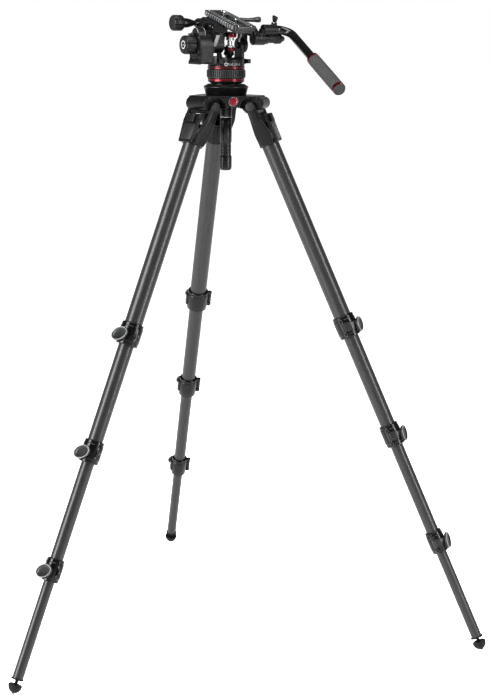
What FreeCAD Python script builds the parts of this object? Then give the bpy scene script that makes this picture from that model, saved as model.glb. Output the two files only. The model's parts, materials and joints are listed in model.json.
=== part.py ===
import FreeCAD, Part
import math
import os

# Three-legged telescopic tripod with a 75 mm bowl and a fluid head.
# Frame: origin on the ground at the centre axis, +Z up, +Y is where the head looks when it is
# not panned, -X is the operator's left.  Units are millimetres.

# ---------------------------------------------------------------- legs
LEG_AZIMUTH = {"front": 72.75, "left": 192.75, "right": 312.75}   # degrees from +X
LEG_ANGLE = 24.46                  # lean of a leg from the vertical
PIVOT_RADIUS = 62.0                # leg hinge, from the centre axis
PIVOT_HEIGHT = 1151.0
TUBE_RADIUS = [18.6, 16.1, 13.7, 11.5]
TUBE_WALL = [1.6, 1.5, 1.5, 1.5]
CLAMP_TOP = [476.8, 729.2, 980.6]  # distance down the leg from the hinge
CLAMP_HEIGHT = 47.5
CLAMP_WALL = 5.2
CLAMP_SEAT = 26.0                  # how deep a tube's end sits in its clamp
TUBE_TOP = [42.0, 318.0, 594.0, 832.0]
COLLAR_TOP = 45.0
COLLAR_BOTTOM = 86.3
COLLAR_WALL = 3.9
FOOT_TOP = 1231.9
FOOT_BALL_RADIUS = 15.0
FOOT_BALL_CENTRE = (PIVOT_HEIGHT - FOOT_BALL_RADIUS) / math.cos(math.radians(LEG_ANGLE))
ARM_INNER = 28.5                   # yoke arm, from the leg's mid plane
ARM_OUTER = 38.0
ARM_HEAD_RADIUS = 11.0
HINGE_PIN_RADIUS = 5.0
RUNNING_GAP = 0.05
GAP = 0.4                          # between parts that move past each other

# ---------------------------------------------------------------- spider and bowl
SPIDER_TOP = 1173.0
SPIDER_BOTTOM = 1147.0
LUG_REACH = 76.0
LUG_HALF_WIDTH = 27.9
WEB_APOTHEM = 65.6                 # flat web face between two legs, from the axis
POCKET_RADIUS = 17.5               # arched recess round each yoke arm's head
BARREL_RADIUS = 13.0
BARREL_OUT = 14.0                  # outer barrel of a lug, from the leg hinge
BARREL_UP = 7.0
HUB_BORE = 34.0
BALL_HEIGHT = 1196.0               # centre of the levelling ball
BOWL_INNER = 37.6
BALL_RADIUS = 37.3
BOWL_WALL_RADIUS = 42.0
BOWL_RIM_RADIUS = 47.5
BOWL_BASE_RADIUS = 42.0
BOWL_HOLE = 22.0
CUP_INNER = 42.3
CUP_OUTER = 46.0
CUP_HOLE = 12.0
CUP_RADIUS = 24.0
HANDLE_BOTTOM = 1016.0
HANDLE_TOP = 1150.5

# ---------------------------------------------------------------- head
DRUM_RADIUS = 38.0
DRAG_RING_RADIUS = 40.7
PAN_PIN_RADIUS = 15.0
DECK_HEIGHT = 1250.0
TILT_HEIGHT = 1276.0
TILT_ANGLE = 15.0                  # nose-up lean of the platform at rest
TILT_PIN_RADIUS = 7.0
HOUSING_OUTER = -78.0
HOUSING_INNER = -45.5
HOUSING_RADIUS = 27.0
UPRIGHT_INNER = 28.0
UPRIGHT_OUTER = 36.0
CRANK = 22.0                       # both piston pivots, from the tilt axis
PISTON_X = 6.0
KNOB_RADIUS = 19.0
KNOB_OUTER = -103.0
KNOB_INNER = -78.4
PLATE_WIDTH = 57.0
PLATE_REAR = -68.0
PLATE_FRONT = 66.0
PLATE_TOP = 56.0
PLATE_BOTTOM = 47.2
DOVETAIL_HALF = 21.0
DOVETAIL_BOTTOM = 41.0
PLATFORM_TOP = 46.7
PLATFORM_BOTTOM = 30.0
PLATFORM_HALF_LENGTH = 45.0
REAR_NOTCH_Y = -14.0               # behind this the deck is cut away on the left
TILT_HUB_END = -14.0
TILT_HUB_RADIUS = 17.0
LOCK_KNOB_Y = 27.0
LOCK_KNOB_Z = 38.0
SCREW_LARGE_RADIUS = 4.76          # 3/8 inch
SCREW_SMALL_RADIUS = 3.175         # 1/4 inch
SCREW_LARGE_Y = 24.0
SCREW_SMALL_Y = -24.0
SCREW_NECK_REACH = 0.6             # relieved neck, above the plate's top face
SCREW_NECK_RELIEF = 0.7
ROSETTE_Y = -50.0
ROSETTE_Z = 27.0
BAR_Z = 46.5
BAR_Y = -52.0
BAR_RADIUS = 8.7
BAR_START_X = 60.0
HOLDER_END = 83.0
SCREW_X = 76.0
BAR_BEND_X = 113.0
BAR_END = (67.0, -320.0, 1194.0)   # end of the grip, in the level frame
BAR_BEND_RADIUS = 25.0
GRIP_SHARE = 0.5                   # share of the bar's long run that the grip covers
GRIP_RADIUS = 13.2

os.makedirs("parts", exist_ok=True)


# ---------------------------------------------------------------- shapes
def lathe(points):
    """A solid turned about the Z axis from (radius, height) points."""
    corners = [FreeCAD.Vector(r, 0, z) for r, z in points]
    face = Part.Face(Part.makePolygon(corners + [corners[0]]))
    return face.revolve(FreeCAD.Vector(0, 0, 0), FreeCAD.Vector(0, 0, 1), 360)


def cylinder(start, end, radius):
    axis = FreeCAD.Vector(*end) - FreeCAD.Vector(*start)
    return Part.makeCylinder(radius, axis.Length, FreeCAD.Vector(*start), axis)


def cone(start, end, radius_start, radius_end):
    axis = FreeCAD.Vector(*end) - FreeCAD.Vector(*start)
    return Part.makeCone(radius_start, radius_end, axis.Length, FreeCAD.Vector(*start), axis)


def block(low, high):
    return Part.makeBox(high[0] - low[0], high[1] - low[1], high[2] - low[2],
                        FreeCAD.Vector(*low))


def prism(points, direction):
    """A solid from a closed outline of 3-D points, pushed along a direction."""
    corners = [FreeCAD.Vector(*p) for p in points]
    face = Part.Face(Part.makePolygon(corners + [corners[0]]))
    return face.extrude(FreeCAD.Vector(*direction))


def fused(first, *others):
    return first.multiFuse(list(others)).removeSplitter()


def rounded(solid, radius, chosen):
    """Fillet the edges that a test picks by their centre; keep the solid if it cannot be done."""
    edges = [e for e in solid.Edges if chosen(e.BoundBox.Center)]
    result = solid.makeFillet(radius, edges)
    if result.isValid() and result.Volume > 0:
        return result
    return solid


def sphere_zone(radius, inner, low, high, centre_height):
    """A band of a spherical shell between two heights (inner 0 gives a solid band)."""
    ball = Part.makeSphere(radius, FreeCAD.Vector(0, 0, centre_height))
    slab = Part.makeCylinder(2 * radius, high - low, FreeCAD.Vector(0, 0, low))
    zone = ball.common(slab)
    if inner > 0:
        zone = zone.cut(Part.makeSphere(inner, FreeCAD.Vector(0, 0, centre_height)))
    return zone


# ---------------------------------------------------------------- placing
def on_leg(shape, azimuth):
    """Leg frame to object frame: hinge at the origin, the leg runs down -Z, X is outward."""
    placed = shape.copy()
    placed.rotate(FreeCAD.Vector(0, 0, 0), FreeCAD.Vector(0, 1, 0), -LEG_ANGLE)
    placed.translate(FreeCAD.Vector(PIVOT_RADIUS, 0, PIVOT_HEIGHT))
    placed.rotate(FreeCAD.Vector(0, 0, 0), FreeCAD.Vector(0, 0, 1), azimuth)
    return placed


def at_azimuth(shape, azimuth):
    placed = shape.copy()
    placed.rotate(FreeCAD.Vector(0, 0, 0), FreeCAD.Vector(0, 0, 1), azimuth)
    return placed


def on_platform(shape):
    """Platform frame (origin on the tilt axis, level) to object frame at rest."""
    placed = shape.copy()
    placed.rotate(FreeCAD.Vector(0, 0, 0), FreeCAD.Vector(1, 0, 0), TILT_ANGLE)
    placed.translate(FreeCAD.Vector(0, 0, TILT_HEIGHT))
    return placed


def save(name, *solids):
    shape = solids[0]
    if len(solids) > 1:
        shape = Part.makeCompound(list(solids))
    shape.exportStep("parts/" + name + ".step")
    print(name, round(sum(s.Volume for s in solids)), all(s.isValid() for s in solids))


# ---------------------------------------------------------------- leg pieces (leg frame)
def yoke():
    """Forked leg casting: a collar round the top tube and two arms to the hinge pin."""
    collar = cylinder((0, 0, -COLLAR_BOTTOM), (0, 0, -COLLAR_TOP), TUBE_RADIUS[0] + COLLAR_WALL)
    side_view = prism([(-9, -50, 0), (9, -50, 0), (12, -50, -30), (17, -50, -52), (17, -50, -84),
                       (-17, -50, -84), (-17, -50, -52), (-12, -50, -30)], (0, 100, 0))
    arms = []
    for side in (-1, 1):
        front_view = prism([(-20, side * ARM_INNER, 0), (-20, side * ARM_OUTER, 0),
                            (-20, side * ARM_OUTER, -10), (-20, side * 23, -84), (-20, side * 12, -84),
                            (-20, side * 16, -60), (-20, side * ARM_INNER, -31)], (40, 0, 0))
        head = cylinder((0, side * ARM_INNER, 0), (0, side * ARM_OUTER, 0), ARM_HEAD_RADIUS)
        arms.append(fused(front_view.common(side_view), head))
    panel = prism([(18, -25, -38), (18, 25, -38), (18, 20, -COLLAR_BOTTOM), (18, -20, -COLLAR_BOTTOM)],
                  (4, 0, 0))
    web = prism([(-12, -22, -44), (-12, 22, -44), (-12, 16, -70), (-12, -16, -70)], (32, 0, 0))
    pin = cylinder((0, -ARM_OUTER + 1, 0), (0, ARM_OUTER - 1, 0), HINGE_PIN_RADIUS)
    body = fused(collar, *arms, panel, web, pin)
    socket = cylinder((0, 0, -COLLAR_BOTTOM - 1), (0, 0, -TUBE_TOP[0]), TUBE_RADIUS[0])
    return body.cut(socket)


def selector():
    """Spring tab that sets how far the leg may spread."""
    tab = block((23.2, -11, -46), (27, 11, -26))
    nose = block((14.5, -8, -32), (27, 8, -26))
    return fused(tab, nose)


def tube(index):
    outer = TUBE_RADIUS[index]
    inner = outer - TUBE_WALL[index]
    if index < 3:
        bottom = CLAMP_TOP[index] + CLAMP_SEAT
    else:
        bottom = FOOT_TOP
    top = TUBE_TOP[index]
    return cylinder((0, 0, -bottom), (0, 0, -top), outer).cut(
        cylinder((0, 0, -bottom - 1), (0, 0, -top + 1), inner))


def clamp(index):
    """Collar on the end of one tube that squeezes the next one, with hinge ears for its lever."""
    top = CLAMP_TOP[index]
    bottom = top + CLAMP_HEIGHT
    shoulder = top + CLAMP_SEAT
    outer = TUBE_RADIUS[index] + CLAMP_WALL
    holds = TUBE_RADIUS[index]
    grips = TUBE_RADIUS[index + 1] + GAP
    body = lathe([(holds, -top), (outer - 1.5, -top), (outer, -top - 2), (outer, -bottom + 2),
                  (outer - 1.5, -bottom), (grips, -bottom), (grips, -shoulder), (holds, -shoulder)])
    ears = []
    pin_t = -(outer + 4.4)
    for low, high in ((top + 5, top + 13), (bottom - 13, bottom - 5)):
        ear = cylinder((0, pin_t, -high), (0, pin_t, -low), 4.6)
        root = block((-4.6, pin_t, -high), (4.6, -holds - 2.0, -low))
        ears.append(fused(ear, root))
    boss = block((-5, outer - 1.5, -bottom + 8), (5, outer + 3.5, -top - 8))
    pin = cylinder((0, pin_t, -bottom + 4), (0, pin_t, -top - 4), 2.0)
    body = fused(body, *ears, rounded(boss, 2.0, lambda c: abs(c.y - outer - 3.5) < 0.1), pin)
    return body.cut(cylinder((0, 0, -bottom - 1), (0, 0, -top + 1), grips)).cut(
        cylinder((0, 0, -shoulder), (0, 0, -top + 1), holds))


def lever(index):
    """Wrap-round lever with a dished oval paddle on the leg's outer side."""
    top = CLAMP_TOP[index]
    outer = TUBE_RADIUS[index] + CLAMP_WALL
    pin_t = -(outer + 4.4)
    low = top + 14.0
    high = top + CLAMP_HEIGHT - 14.0
    inner = outer + GAP
    skin = outer + 3.6
    ring = cylinder((0, 0, -high), (0, 0, -low), skin).cut(cylinder((0, 0, -high), (0, 0, -low), inner))
    far = skin + 6
    sector = [(0, pin_t, -high), (far, pin_t, -high), (far, 16, -high), (12, 16, -high), (0, 0, -high)]
    wrap = ring.common(prism(sector, (0, 0, high - low)))
    knuckle = cylinder((0, pin_t, -high), (0, pin_t, -low), 4.4)
    web = block((0, pin_t, -high), (8, -outer - GAP, -low))
    paddle_centre = top + 0.62 * CLAMP_HEIGHT
    paddle = cylinder((outer + 1.2, 0, -paddle_centre), (outer + 6.5, 0, -paddle_centre), 13.5)
    grow = FreeCAD.Matrix()
    grow.move(FreeCAD.Vector(0, 0, paddle_centre))
    grow.scale(1, 1, 1.33)
    grow.move(FreeCAD.Vector(0, 0, -paddle_centre))
    paddle = paddle.transformGeometry(grow)
    dish = Part.makeSphere(60, FreeCAD.Vector(outer + 6.5 + 58.2, 0, -paddle_centre))
    body = fused(wrap, knuckle, web, paddle.cut(dish))
    body = body.cut(cylinder((0, 0, -high - 30), (0, 0, -low + 30), inner))
    return body.cut(cylinder((0, pin_t, -high - 1), (0, pin_t, -low + 1), 2.0 + RUNNING_GAP))


def foot():
    """Flange and neck that close the last tube, and the round rubber foot."""
    last = TUBE_RADIUS[3]
    flange = lathe([(0, -FOOT_TOP), (last + 1.2, -FOOT_TOP), (last + 1.2, -FOOT_TOP - 2.5),
                    (6.5, -FOOT_TOP - 3.5), (6.5, -FOOT_TOP - 6), (0, -FOOT_TOP - 6)])
    ball = Part.makeSphere(FOOT_BALL_RADIUS, FreeCAD.Vector(0, 0, -FOOT_BALL_CENTRE))
    crown = Part.makeCylinder(FOOT_BALL_RADIUS, 20, FreeCAD.Vector(0, 0, -FOOT_BALL_CENTRE + 10.5))
    return fused(flange, ball.cut(crown))


# ---------------------------------------------------------------- spider and bowl (object frame)
def spider():
    """Casting that carries the bowl and the three leg hinges."""
    half = (WEB_APOTHEM - LUG_REACH * math.cos(math.radians(60))) / math.sin(math.radians(60))
    outline = []
    for azimuth in sorted(LEG_AZIMUTH.values()):
        turn = math.radians(azimuth)
        for t in (-half, half):
            outline.append((LUG_REACH * math.cos(turn) - t * math.sin(turn),
                            LUG_REACH * math.sin(turn) + t * math.cos(turn), SPIDER_BOTTOM))
    body = prism(outline, (0, 0, SPIDER_TOP - SPIDER_BOTTOM))
    lug_low = PIVOT_HEIGHT - 14.0
    pieces = []
    cuts = [cylinder((0, 0, SPIDER_BOTTOM - 1), (0, 0, SPIDER_TOP + 1), HUB_BORE)]
    for azimuth in LEG_AZIMUTH.values():
        lug = block((44, -LUG_HALF_WIDTH, lug_low), (LUG_REACH, LUG_HALF_WIDTH, SPIDER_TOP))
        barrel = cylinder((PIVOT_RADIUS + BARREL_OUT, -LUG_HALF_WIDTH, PIVOT_HEIGHT + BARREL_UP),
                          (PIVOT_RADIUS + BARREL_OUT, LUG_HALF_WIDTH, PIVOT_HEIGHT + BARREL_UP),
                          BARREL_RADIUS)
        pieces.append(at_azimuth(fused(lug, barrel), azimuth))
        for side in (-1, 1):
            pocket = cylinder((PIVOT_RADIUS, side * LUG_HALF_WIDTH, PIVOT_HEIGHT),
                              (PIVOT_RADIUS, side * 80, PIVOT_HEIGHT), POCKET_RADIUS)
            cuts.append(at_azimuth(pocket, azimuth))
        bore = cylinder((PIVOT_RADIUS, -40, PIVOT_HEIGHT), (PIVOT_RADIUS, 40, PIVOT_HEIGHT),
                        HINGE_PIN_RADIUS + RUNNING_GAP)
        cuts.append(at_azimuth(bore, azimuth))
        arch = cylinder((0, 0, SPIDER_BOTTOM - 46), (90, 0, SPIDER_BOTTOM - 46), 50)
        cuts.append(at_azimuth(arch, azimuth + 60))
    body = fused(body, *pieces)
    for cut in cuts:
        body = body.cut(cut)
    return body


def bowl():
    """75 mm levelling bowl."""
    base = SPIDER_TOP
    outside = lathe([(0, base - 20), (HUB_BORE - 0.3, base - 20), (HUB_BORE - 0.3, base),
                     (BOWL_BASE_RADIUS, base), (BOWL_RIM_RADIUS, base + 16.5),
                     (BOWL_RIM_RADIUS, base + 18), (BOWL_INNER + 1.0, BALL_HEIGHT), (0, BALL_HEIGHT)])
    hollow = Part.makeSphere(BOWL_INNER, FreeCAD.Vector(0, 0, BALL_HEIGHT))
    below = Part.makeCylinder(80, 40, FreeCAD.Vector(0, 0, base - 40))
    below = below.cut(Part.makeSphere(BOWL_WALL_RADIUS, FreeCAD.Vector(0, 0, BALL_HEIGHT)))
    hole = cylinder((0, 0, base - 40), (0, 0, BALL_HEIGHT), BOWL_HOLE)
    return outside.cut(hollow).cut(below).cut(hole)


def bowl_clamp_cup():
    """Dished washer that is drawn up under the bowl."""
    low = BALL_HEIGHT - CUP_OUTER
    shell = sphere_zone(CUP_OUTER, CUP_INNER, low, BALL_HEIGHT - 20, BALL_HEIGHT)
    limit = cylinder((0, 0, low), (0, 0, BALL_HEIGHT), CUP_RADIUS)
    hole = cylinder((0, 0, low - 1), (0, 0, BALL_HEIGHT), CUP_HOLE)
    return shell.common(limit).cut(hole)


def bowl_clamp_handle():
    """Long handle that tightens the cup against the bowl."""
    neck = HANDLE_TOP - 21.5
    waist = HANDLE_BOTTOM + 59
    knob = HANDLE_BOTTOM + 30
    return lathe([(5.2, HANDLE_TOP), (12.0, HANDLE_TOP), (13.0, HANDLE_TOP - 1), (13.0, neck + 1),
                  (11.6, neck), (11.6, neck - 2), (12.5, neck - 2.5), (12.5, waist), (11.3, waist - 0.6),
                  (11.3, knob), (12.8, knob - 0.8), (12.8, HANDLE_BOTTOM + 6), (11.4, HANDLE_BOTTOM + 2),
                  (8.5, HANDLE_BOTTOM), (0, HANDLE_BOTTOM), (0, neck), (5.2, neck)])


# ---------------------------------------------------------------- head (object frame)
def head_base():
    """Half ball, foot ring and the fixed spindle of the pan bearing."""
    ball = sphere_zone(BALL_RADIUS, 0, BALL_HEIGHT - 30, BALL_HEIGHT - 2.5, BALL_HEIGHT)
    body = lathe([(0, BALL_HEIGHT - 4), (31.0, BALL_HEIGHT - 4), (31.0, BALL_HEIGHT + 1),
                  (DRUM_RADIUS, BALL_HEIGHT + 4.5), (DRUM_RADIUS, BALL_HEIGHT + 5),
                  (38.8, BALL_HEIGHT + 5.6), (38.8, BALL_HEIGHT + 11.4), (DRUM_RADIUS, BALL_HEIGHT + 12),
                  (24.0, BALL_HEIGHT + 12), (24.0, BALL_HEIGHT + 30), (PAN_PIN_RADIUS, BALL_HEIGHT + 30),
                  (PAN_PIN_RADIUS, BALL_HEIGHT + 43), (0, BALL_HEIGHT + 43)])
    stud = cylinder((0, 0, HANDLE_TOP - 18), (0, 0, BALL_HEIGHT - 20), HINGE_PIN_RADIUS)
    return fused(ball, body, stud)


def pan_drag_ring():
    """Ribbed rubber ring that sets the pan drag."""
    low = BALL_HEIGHT + 12.4
    high = BALL_HEIGHT + 30.0
    return lathe([(24.4, low), (DRAG_RING_RADIUS - 1, low), (DRAG_RING_RADIUS, low + 1),
                  (DRAG_RING_RADIUS, high - 1), (DRAG_RING_RADIUS - 1, high), (24.4, high)])


def pan_body():
    """Turning lower casting: drum, left housing with the tilt drag, right upright."""
    low = BALL_HEIGHT + 30.4
    drum = lathe([(0, low), (38.9, low + 0.2), (38.9, low + 6.4), (DRUM_RADIUS, low + 7),
                  (DRUM_RADIUS, DECK_HEIGHT - 4), (DRUM_RADIUS - 3, DECK_HEIGHT), (0, DECK_HEIGHT)])
    width = HOUSING_INNER - HOUSING_OUTER
    housing = cylinder((HOUSING_OUTER, 0, TILT_HEIGHT), (HOUSING_INNER, 0, TILT_HEIGHT), HOUSING_RADIUS)
    side = HOUSING_RADIUS
    lower = prism([(HOUSING_OUTER + 4, -side + 3, 1240), (HOUSING_OUTER + 4, side - 3, 1240),
                   (HOUSING_OUTER + 4, side, TILT_HEIGHT), (HOUSING_OUTER + 4, -side, TILT_HEIGHT)],
                  (width - 4, 0, 0))
    skirt = prism([(HOUSING_OUTER + 16, -14, 1240), (HOUSING_OUTER + 5, -14, 1256),
                   (HOUSING_OUTER - 2, -14, 1241), (HOUSING_OUTER - 2, -14, 1237),
                   (HOUSING_OUTER + 8, -14, 1236)], (0, 34, 0))
    lobe = cylinder((HOUSING_OUTER, -6, TILT_HEIGHT + 22), (HOUSING_OUTER + 16, -6, TILT_HEIGHT + 22), 13.5)
    bridge = block((HOUSING_INNER - 20, -22, 1237), (-24, 22, TILT_HEIGHT - 23))
    bracket = prism([(-34, -18, 1237), (-34, -18, 1262), (-34, -22, 1262), (-34, -30, 1246),
                     (-34, -30, 1237)], (9, 0, 0))
    upright = block((UPRIGHT_INNER, -14, DECK_HEIGHT - 8), (UPRIGHT_OUTER, 14, TILT_HEIGHT))
    bearing = cylinder((UPRIGHT_INNER, 0, TILT_HEIGHT), (UPRIGHT_OUTER, 0, TILT_HEIGHT), 15)
    body = fused(drum, housing, lower, skirt, lobe, bridge, bracket, upright, bearing)
    body = body.cut(cylinder((0, 0, low - 1), (0, 0, BALL_HEIGHT + 43.3), PAN_PIN_RADIUS + RUNNING_GAP))
    bore = TILT_PIN_RADIUS + RUNNING_GAP
    body = body.cut(cylinder((-66, 0, TILT_HEIGHT), (HOUSING_INNER + 1, 0, TILT_HEIGHT), bore))
    body = body.cut(cylinder((20, 0, TILT_HEIGHT), (UPRIGHT_OUTER + 1, 0, TILT_HEIGHT), bore))
    return body.cut(block((PISTON_X - 12, -19, TILT_HEIGHT - 34), (PISTON_X + 12, 19, DECK_HEIGHT + 1)))


def pan_lock_lever():
    """Short lever beside the drum that locks the pan."""
    pivot = cylinder((43.2, 2, 1236), (43.2, 2, 1248), 4.8)
    arm = prism([(40, 2, 1238), (48, 3, 1238), (55, -9, 1238), (45, -14, 1238)], (0, 0, 9))
    return fused(pivot, arm)


def counterbalance_knob():
    fluted = cylinder((KNOB_OUTER, 0, TILT_HEIGHT), (KNOB_INNER, 0, TILT_HEIGHT), KNOB_RADIUS)
    outer_edges = [e for e in fluted.Edges if abs(e.BoundBox.Center.x - KNOB_OUTER) < 0.1]
    fluted = fluted.makeChamfer(1.2, outer_edges)
    for step in range(9):
        turn = math.radians(40 * step)
        y = (KNOB_RADIUS + 2.2) * math.cos(turn)
        z = TILT_HEIGHT + (KNOB_RADIUS + 2.2) * math.sin(turn)
        fluted = fluted.cut(cylinder((KNOB_OUTER - 1, y, z), (KNOB_INNER - 5, y, z), 3.6))
    return fluted


def piston_cylinder():
    """Lower half of the counterbalance spring, rocking on the deck."""
    lower = TILT_HEIGHT - CRANK
    body = Part.makeSphere(7.5, FreeCAD.Vector(0, 0, 0))
    body = fused(body, lathe([(0, 0), (7.5, 0), (11.2, 3), (9.6, 10), (10.8, 10.6), (10.8, 16.4),
                              (9.8, 17), (8.4, 17), (8.4, 21), (0, 21)]))
    body = body.cut(cylinder((0, 0, 4), (0, 0, 30), 5.0 + GAP))
    body.rotate(FreeCAD.Vector(0, 0, 0), FreeCAD.Vector(1, 0, 0), TILT_ANGLE / 2)
    body.translate(FreeCAD.Vector(PISTON_X, 0, lower))
    return body


def piston_rod():
    """Upper half of the counterbalance spring, hung from the platform."""
    body = lathe([(0, 5), (12.3, 5), (13.4, 4), (13.4, -4.4), (12.6, -5), (9.0, -5), (9.0, -11),
                  (5.0, -11), (5.0, -31), (0, -31)])
    body.rotate(FreeCAD.Vector(0, 0, 0), FreeCAD.Vector(1, 0, 0), -TILT_ANGLE / 2)
    body.translate(FreeCAD.Vector(PISTON_X, 0, CRANK))
    return on_platform(body)


# ---------------------------------------------------------------- platform pieces (platform frame)
def tilt_platform():
    """Tilting casting: deck with a dovetail channel, two cheeks and the pan bar bracket."""
    half = PLATFORM_HALF_LENGTH
    deck = block((-44, -half, PLATFORM_BOTTOM), (44, half, PLATFORM_TOP))
    deck = rounded(deck, 8, lambda c: abs(c.z - (PLATFORM_BOTTOM + PLATFORM_TOP) / 2) < 0.5)
    shoulder = block((-60, 8, 27.8), (-40, 42, PLATFORM_TOP - 2))
    shoulder = rounded(shoulder, 9, lambda c: c.x < -59 and abs(c.z - PLATFORM_TOP + 2) < 0.5)
    cheek_left = fused(cylinder((-45, 0, 0), (-35, 0, 0), 19),
                       prism([(-45, -19, 0), (-45, 19, 0), (-45, 30, 32), (-45, -30, 32)], (10, 0, 0)))
    cheek_right = fused(cylinder((36.6, 0, 0), (44, 0, 0), 16),
                        prism([(36.6, -12, 4), (36.6, 16, 0), (36.6, 26, 32), (36.6, -6, 32)],
                              (7.4, 0, 0)))
    hub = cylinder((-36, 0, 0), (TILT_HUB_END, 0, 0), TILT_HUB_RADIUS)
    web = block((-34, -14, 0), (TILT_HUB_END, 14, PLATFORM_BOTTOM + 1))
    strut = prism([(36.6, -8, -12), (36.6, -15, -3), (36.6, -55, 26), (36.6, -46, 33)], (7.4, 0, 0))
    neck = prism([(32, -42, 31), (32, -40, 45), (32, -54, 40), (32, -60, 30)], (12, 0, 0))
    head = cylinder((30, ROSETTE_Y, ROSETTE_Z), (43.6, ROSETTE_Y, ROSETTE_Z), 13)
    pins = fused(cylinder((-62, 0, 0), (-44, 0, 0), TILT_PIN_RADIUS),
                 cylinder((24, 0, 0), (40, 0, 0), TILT_PIN_RADIUS))
    stub = cylinder((40, ROSETTE_Y, ROSETTE_Z), (72, ROSETTE_Y, ROSETTE_Z), 4.0)
    body = fused(deck, shoulder, cheek_left, cheek_right, hub, web, strut, neck, head, pins.Solids[0],
                 pins.Solids[1], stub)
    channel = block((-DOVETAIL_HALF - GAP, -half - 1, DOVETAIL_BOTTOM - GAP),
                    (DOVETAIL_HALF + GAP, half + 1, PLATFORM_TOP + 1))
    pocket = block((PISTON_X - 16, -23, PLATFORM_BOTTOM - 1), (PISTON_X + 16, 23, 37))
    rear_notch = block((-46, -half - 1, PLATFORM_BOTTOM - 1), (26, REAR_NOTCH_Y, PLATFORM_TOP + 1))
    knob_bore = cylinder((-61, LOCK_KNOB_Y, LOCK_KNOB_Z), (-45, LOCK_KNOB_Y, LOCK_KNOB_Z),
                         4.0 + RUNNING_GAP)
    lever_bore = cylinder((34, 12, 38), (34, 12, PLATFORM_TOP + 1), 3.0 + RUNNING_GAP)
    return body.cut(channel).cut(pocket).cut(rear_notch).cut(knob_bore).cut(lever_bore)


def slide_plate():
    """Sliding camera plate with two screw slots."""
    half = PLATE_WIDTH / 2
    top = block((-half, PLATE_REAR, PLATE_BOTTOM), (half, PLATE_FRONT, PLATE_TOP))
    top = rounded(top, 7, lambda c: abs(c.z - (PLATE_BOTTOM + PLATE_TOP) / 2) < 0.5)
    rail = block((-DOVETAIL_HALF, PLATE_REAR + 6, DOVETAIL_BOTTOM), (DOVETAIL_HALF, PLATE_FRONT - 6,
                                                                     PLATE_BOTTOM + 1))
    body = fused(top, rail)
    for centre, radius in ((SCREW_LARGE_Y, SCREW_LARGE_RADIUS), (SCREW_SMALL_Y, SCREW_SMALL_RADIUS)):
        for reach, low, high in ((radius + 0.3, 48, PLATE_TOP + 1), (9.6, DOVETAIL_BOTTOM - 1, 49)):
            slot = fused(block((-reach, centre - 14, low), (reach, centre + 14, high)),
                         cylinder((0, centre - 14, low), (0, centre - 14, high), reach),
                         cylinder((0, centre + 14, low), (0, centre + 14, high), reach))
            body = body.cut(slot)
    return body


def camera_screw(y, radius, reach):
    """Flat head under the plate, a relieved neck through the slot and the thread above it."""
    head = cylinder((0, y, 43.0), (0, y, 49.0), 9.0)
    neck = cylinder((0, y, 48), (0, y, PLATE_TOP + SCREW_NECK_REACH + 1), radius - SCREW_NECK_RELIEF)
    thread = cylinder((0, y, PLATE_TOP + SCREW_NECK_REACH), (0, y, PLATE_TOP + reach), radius)
    thread = thread.makeChamfer(0.6, [e for e in thread.Edges
                                      if abs(e.BoundBox.Center.z - PLATE_TOP - reach) < 0.1])
    return fused(head, neck, thread)


def plate_lock_knob():
    """Fluted knob on a long tapered neck; its stem clamps the sliding plate."""
    y = LOCK_KNOB_Y
    z = LOCK_KNOB_Z
    knob = cylinder((-125, y, z), (-98, y, z), 16)
    knob = knob.makeChamfer(1.5, [e for e in knob.Edges if len(e.Vertexes) == 1])
    for step in range(8):
        turn = math.radians(45 * step)
        dy = 17.6 * math.cos(turn)
        dz = 17.6 * math.sin(turn)
        knob = knob.cut(cylinder((-130, y + dy, z + dz), (-95, y + dy, z + dz), 3.4))
    neck = cone((-98.5, y, z), (-66, y, z), 10.0, 5.0)
    stem = cylinder((-67, y, z), (-46, y, z), 4.0)
    collar = cylinder((-66.5, y, z), (-60.4, y, z), 6.0)
    return fused(knob, neck, stem, collar)


def plate_release_lever():
    """Lever on the right side of the platform that opens the plate jaw."""
    pivot = cylinder((34, 12, 39), (34, 12, 46.9), 3.0)
    hub = cylinder((35.5, 12, PLATFORM_TOP + 0.4), (35.5, 12, 52), 6.0)
    arm = prism([(32.5, 14, 47.4), (41.5, 14, 47.4), (58, -17, 47.4), (51, -21, 47.4)], (0, 0, 4))
    thumb = cylinder((54.5, -19, 47.1), (54.5, -19, 55), 6.5)
    return fused(pivot, hub, arm, thumb)


def pan_bar_clamp():
    """Rosette hub with the split holder for the pan bar."""
    hub = cylinder((44, ROSETTE_Y, ROSETTE_Z), (57, ROSETTE_Y, ROSETTE_Z), 13)
    holder = cylinder((50, BAR_Y, BAR_Z), (HOLDER_END, BAR_Y, BAR_Z), BAR_RADIUS + 1.8)
    web = block((46, ROSETTE_Y - 8, ROSETTE_Z), (57, ROSETTE_Y + 6, BAR_Z))
    boss = cylinder((SCREW_X, BAR_Y, BAR_Z), (SCREW_X, BAR_Y, BAR_Z + 15), 6)
    body = fused(hub, holder, web, boss)
    body = body.cut(cylinder((59, BAR_Y, BAR_Z), (97, BAR_Y, BAR_Z), BAR_RADIUS + RUNNING_GAP))
    body = body.cut(cylinder((SCREW_X, BAR_Y, BAR_Z + 5), (SCREW_X, BAR_Y, BAR_Z + 16), 2.5 + RUNNING_GAP))
    return body.cut(cylinder((43, ROSETTE_Y, ROSETTE_Z), (58, ROSETTE_Y, ROSETTE_Z), 4.0 + RUNNING_GAP))


def rosette_knob():
    """Ribbed barrel that tightens the rosette."""
    y = ROSETTE_Y
    z = ROSETTE_Z
    barrel = cylinder((57.4, y, z), (98, y, z), 8.0)
    end = cone((98, y, z), (106, y, z), 7.6, 5.0)
    return fused(barrel, end).cut(cylinder((57, y, z), (73, y, z), 4.0 + RUNNING_GAP))


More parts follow.
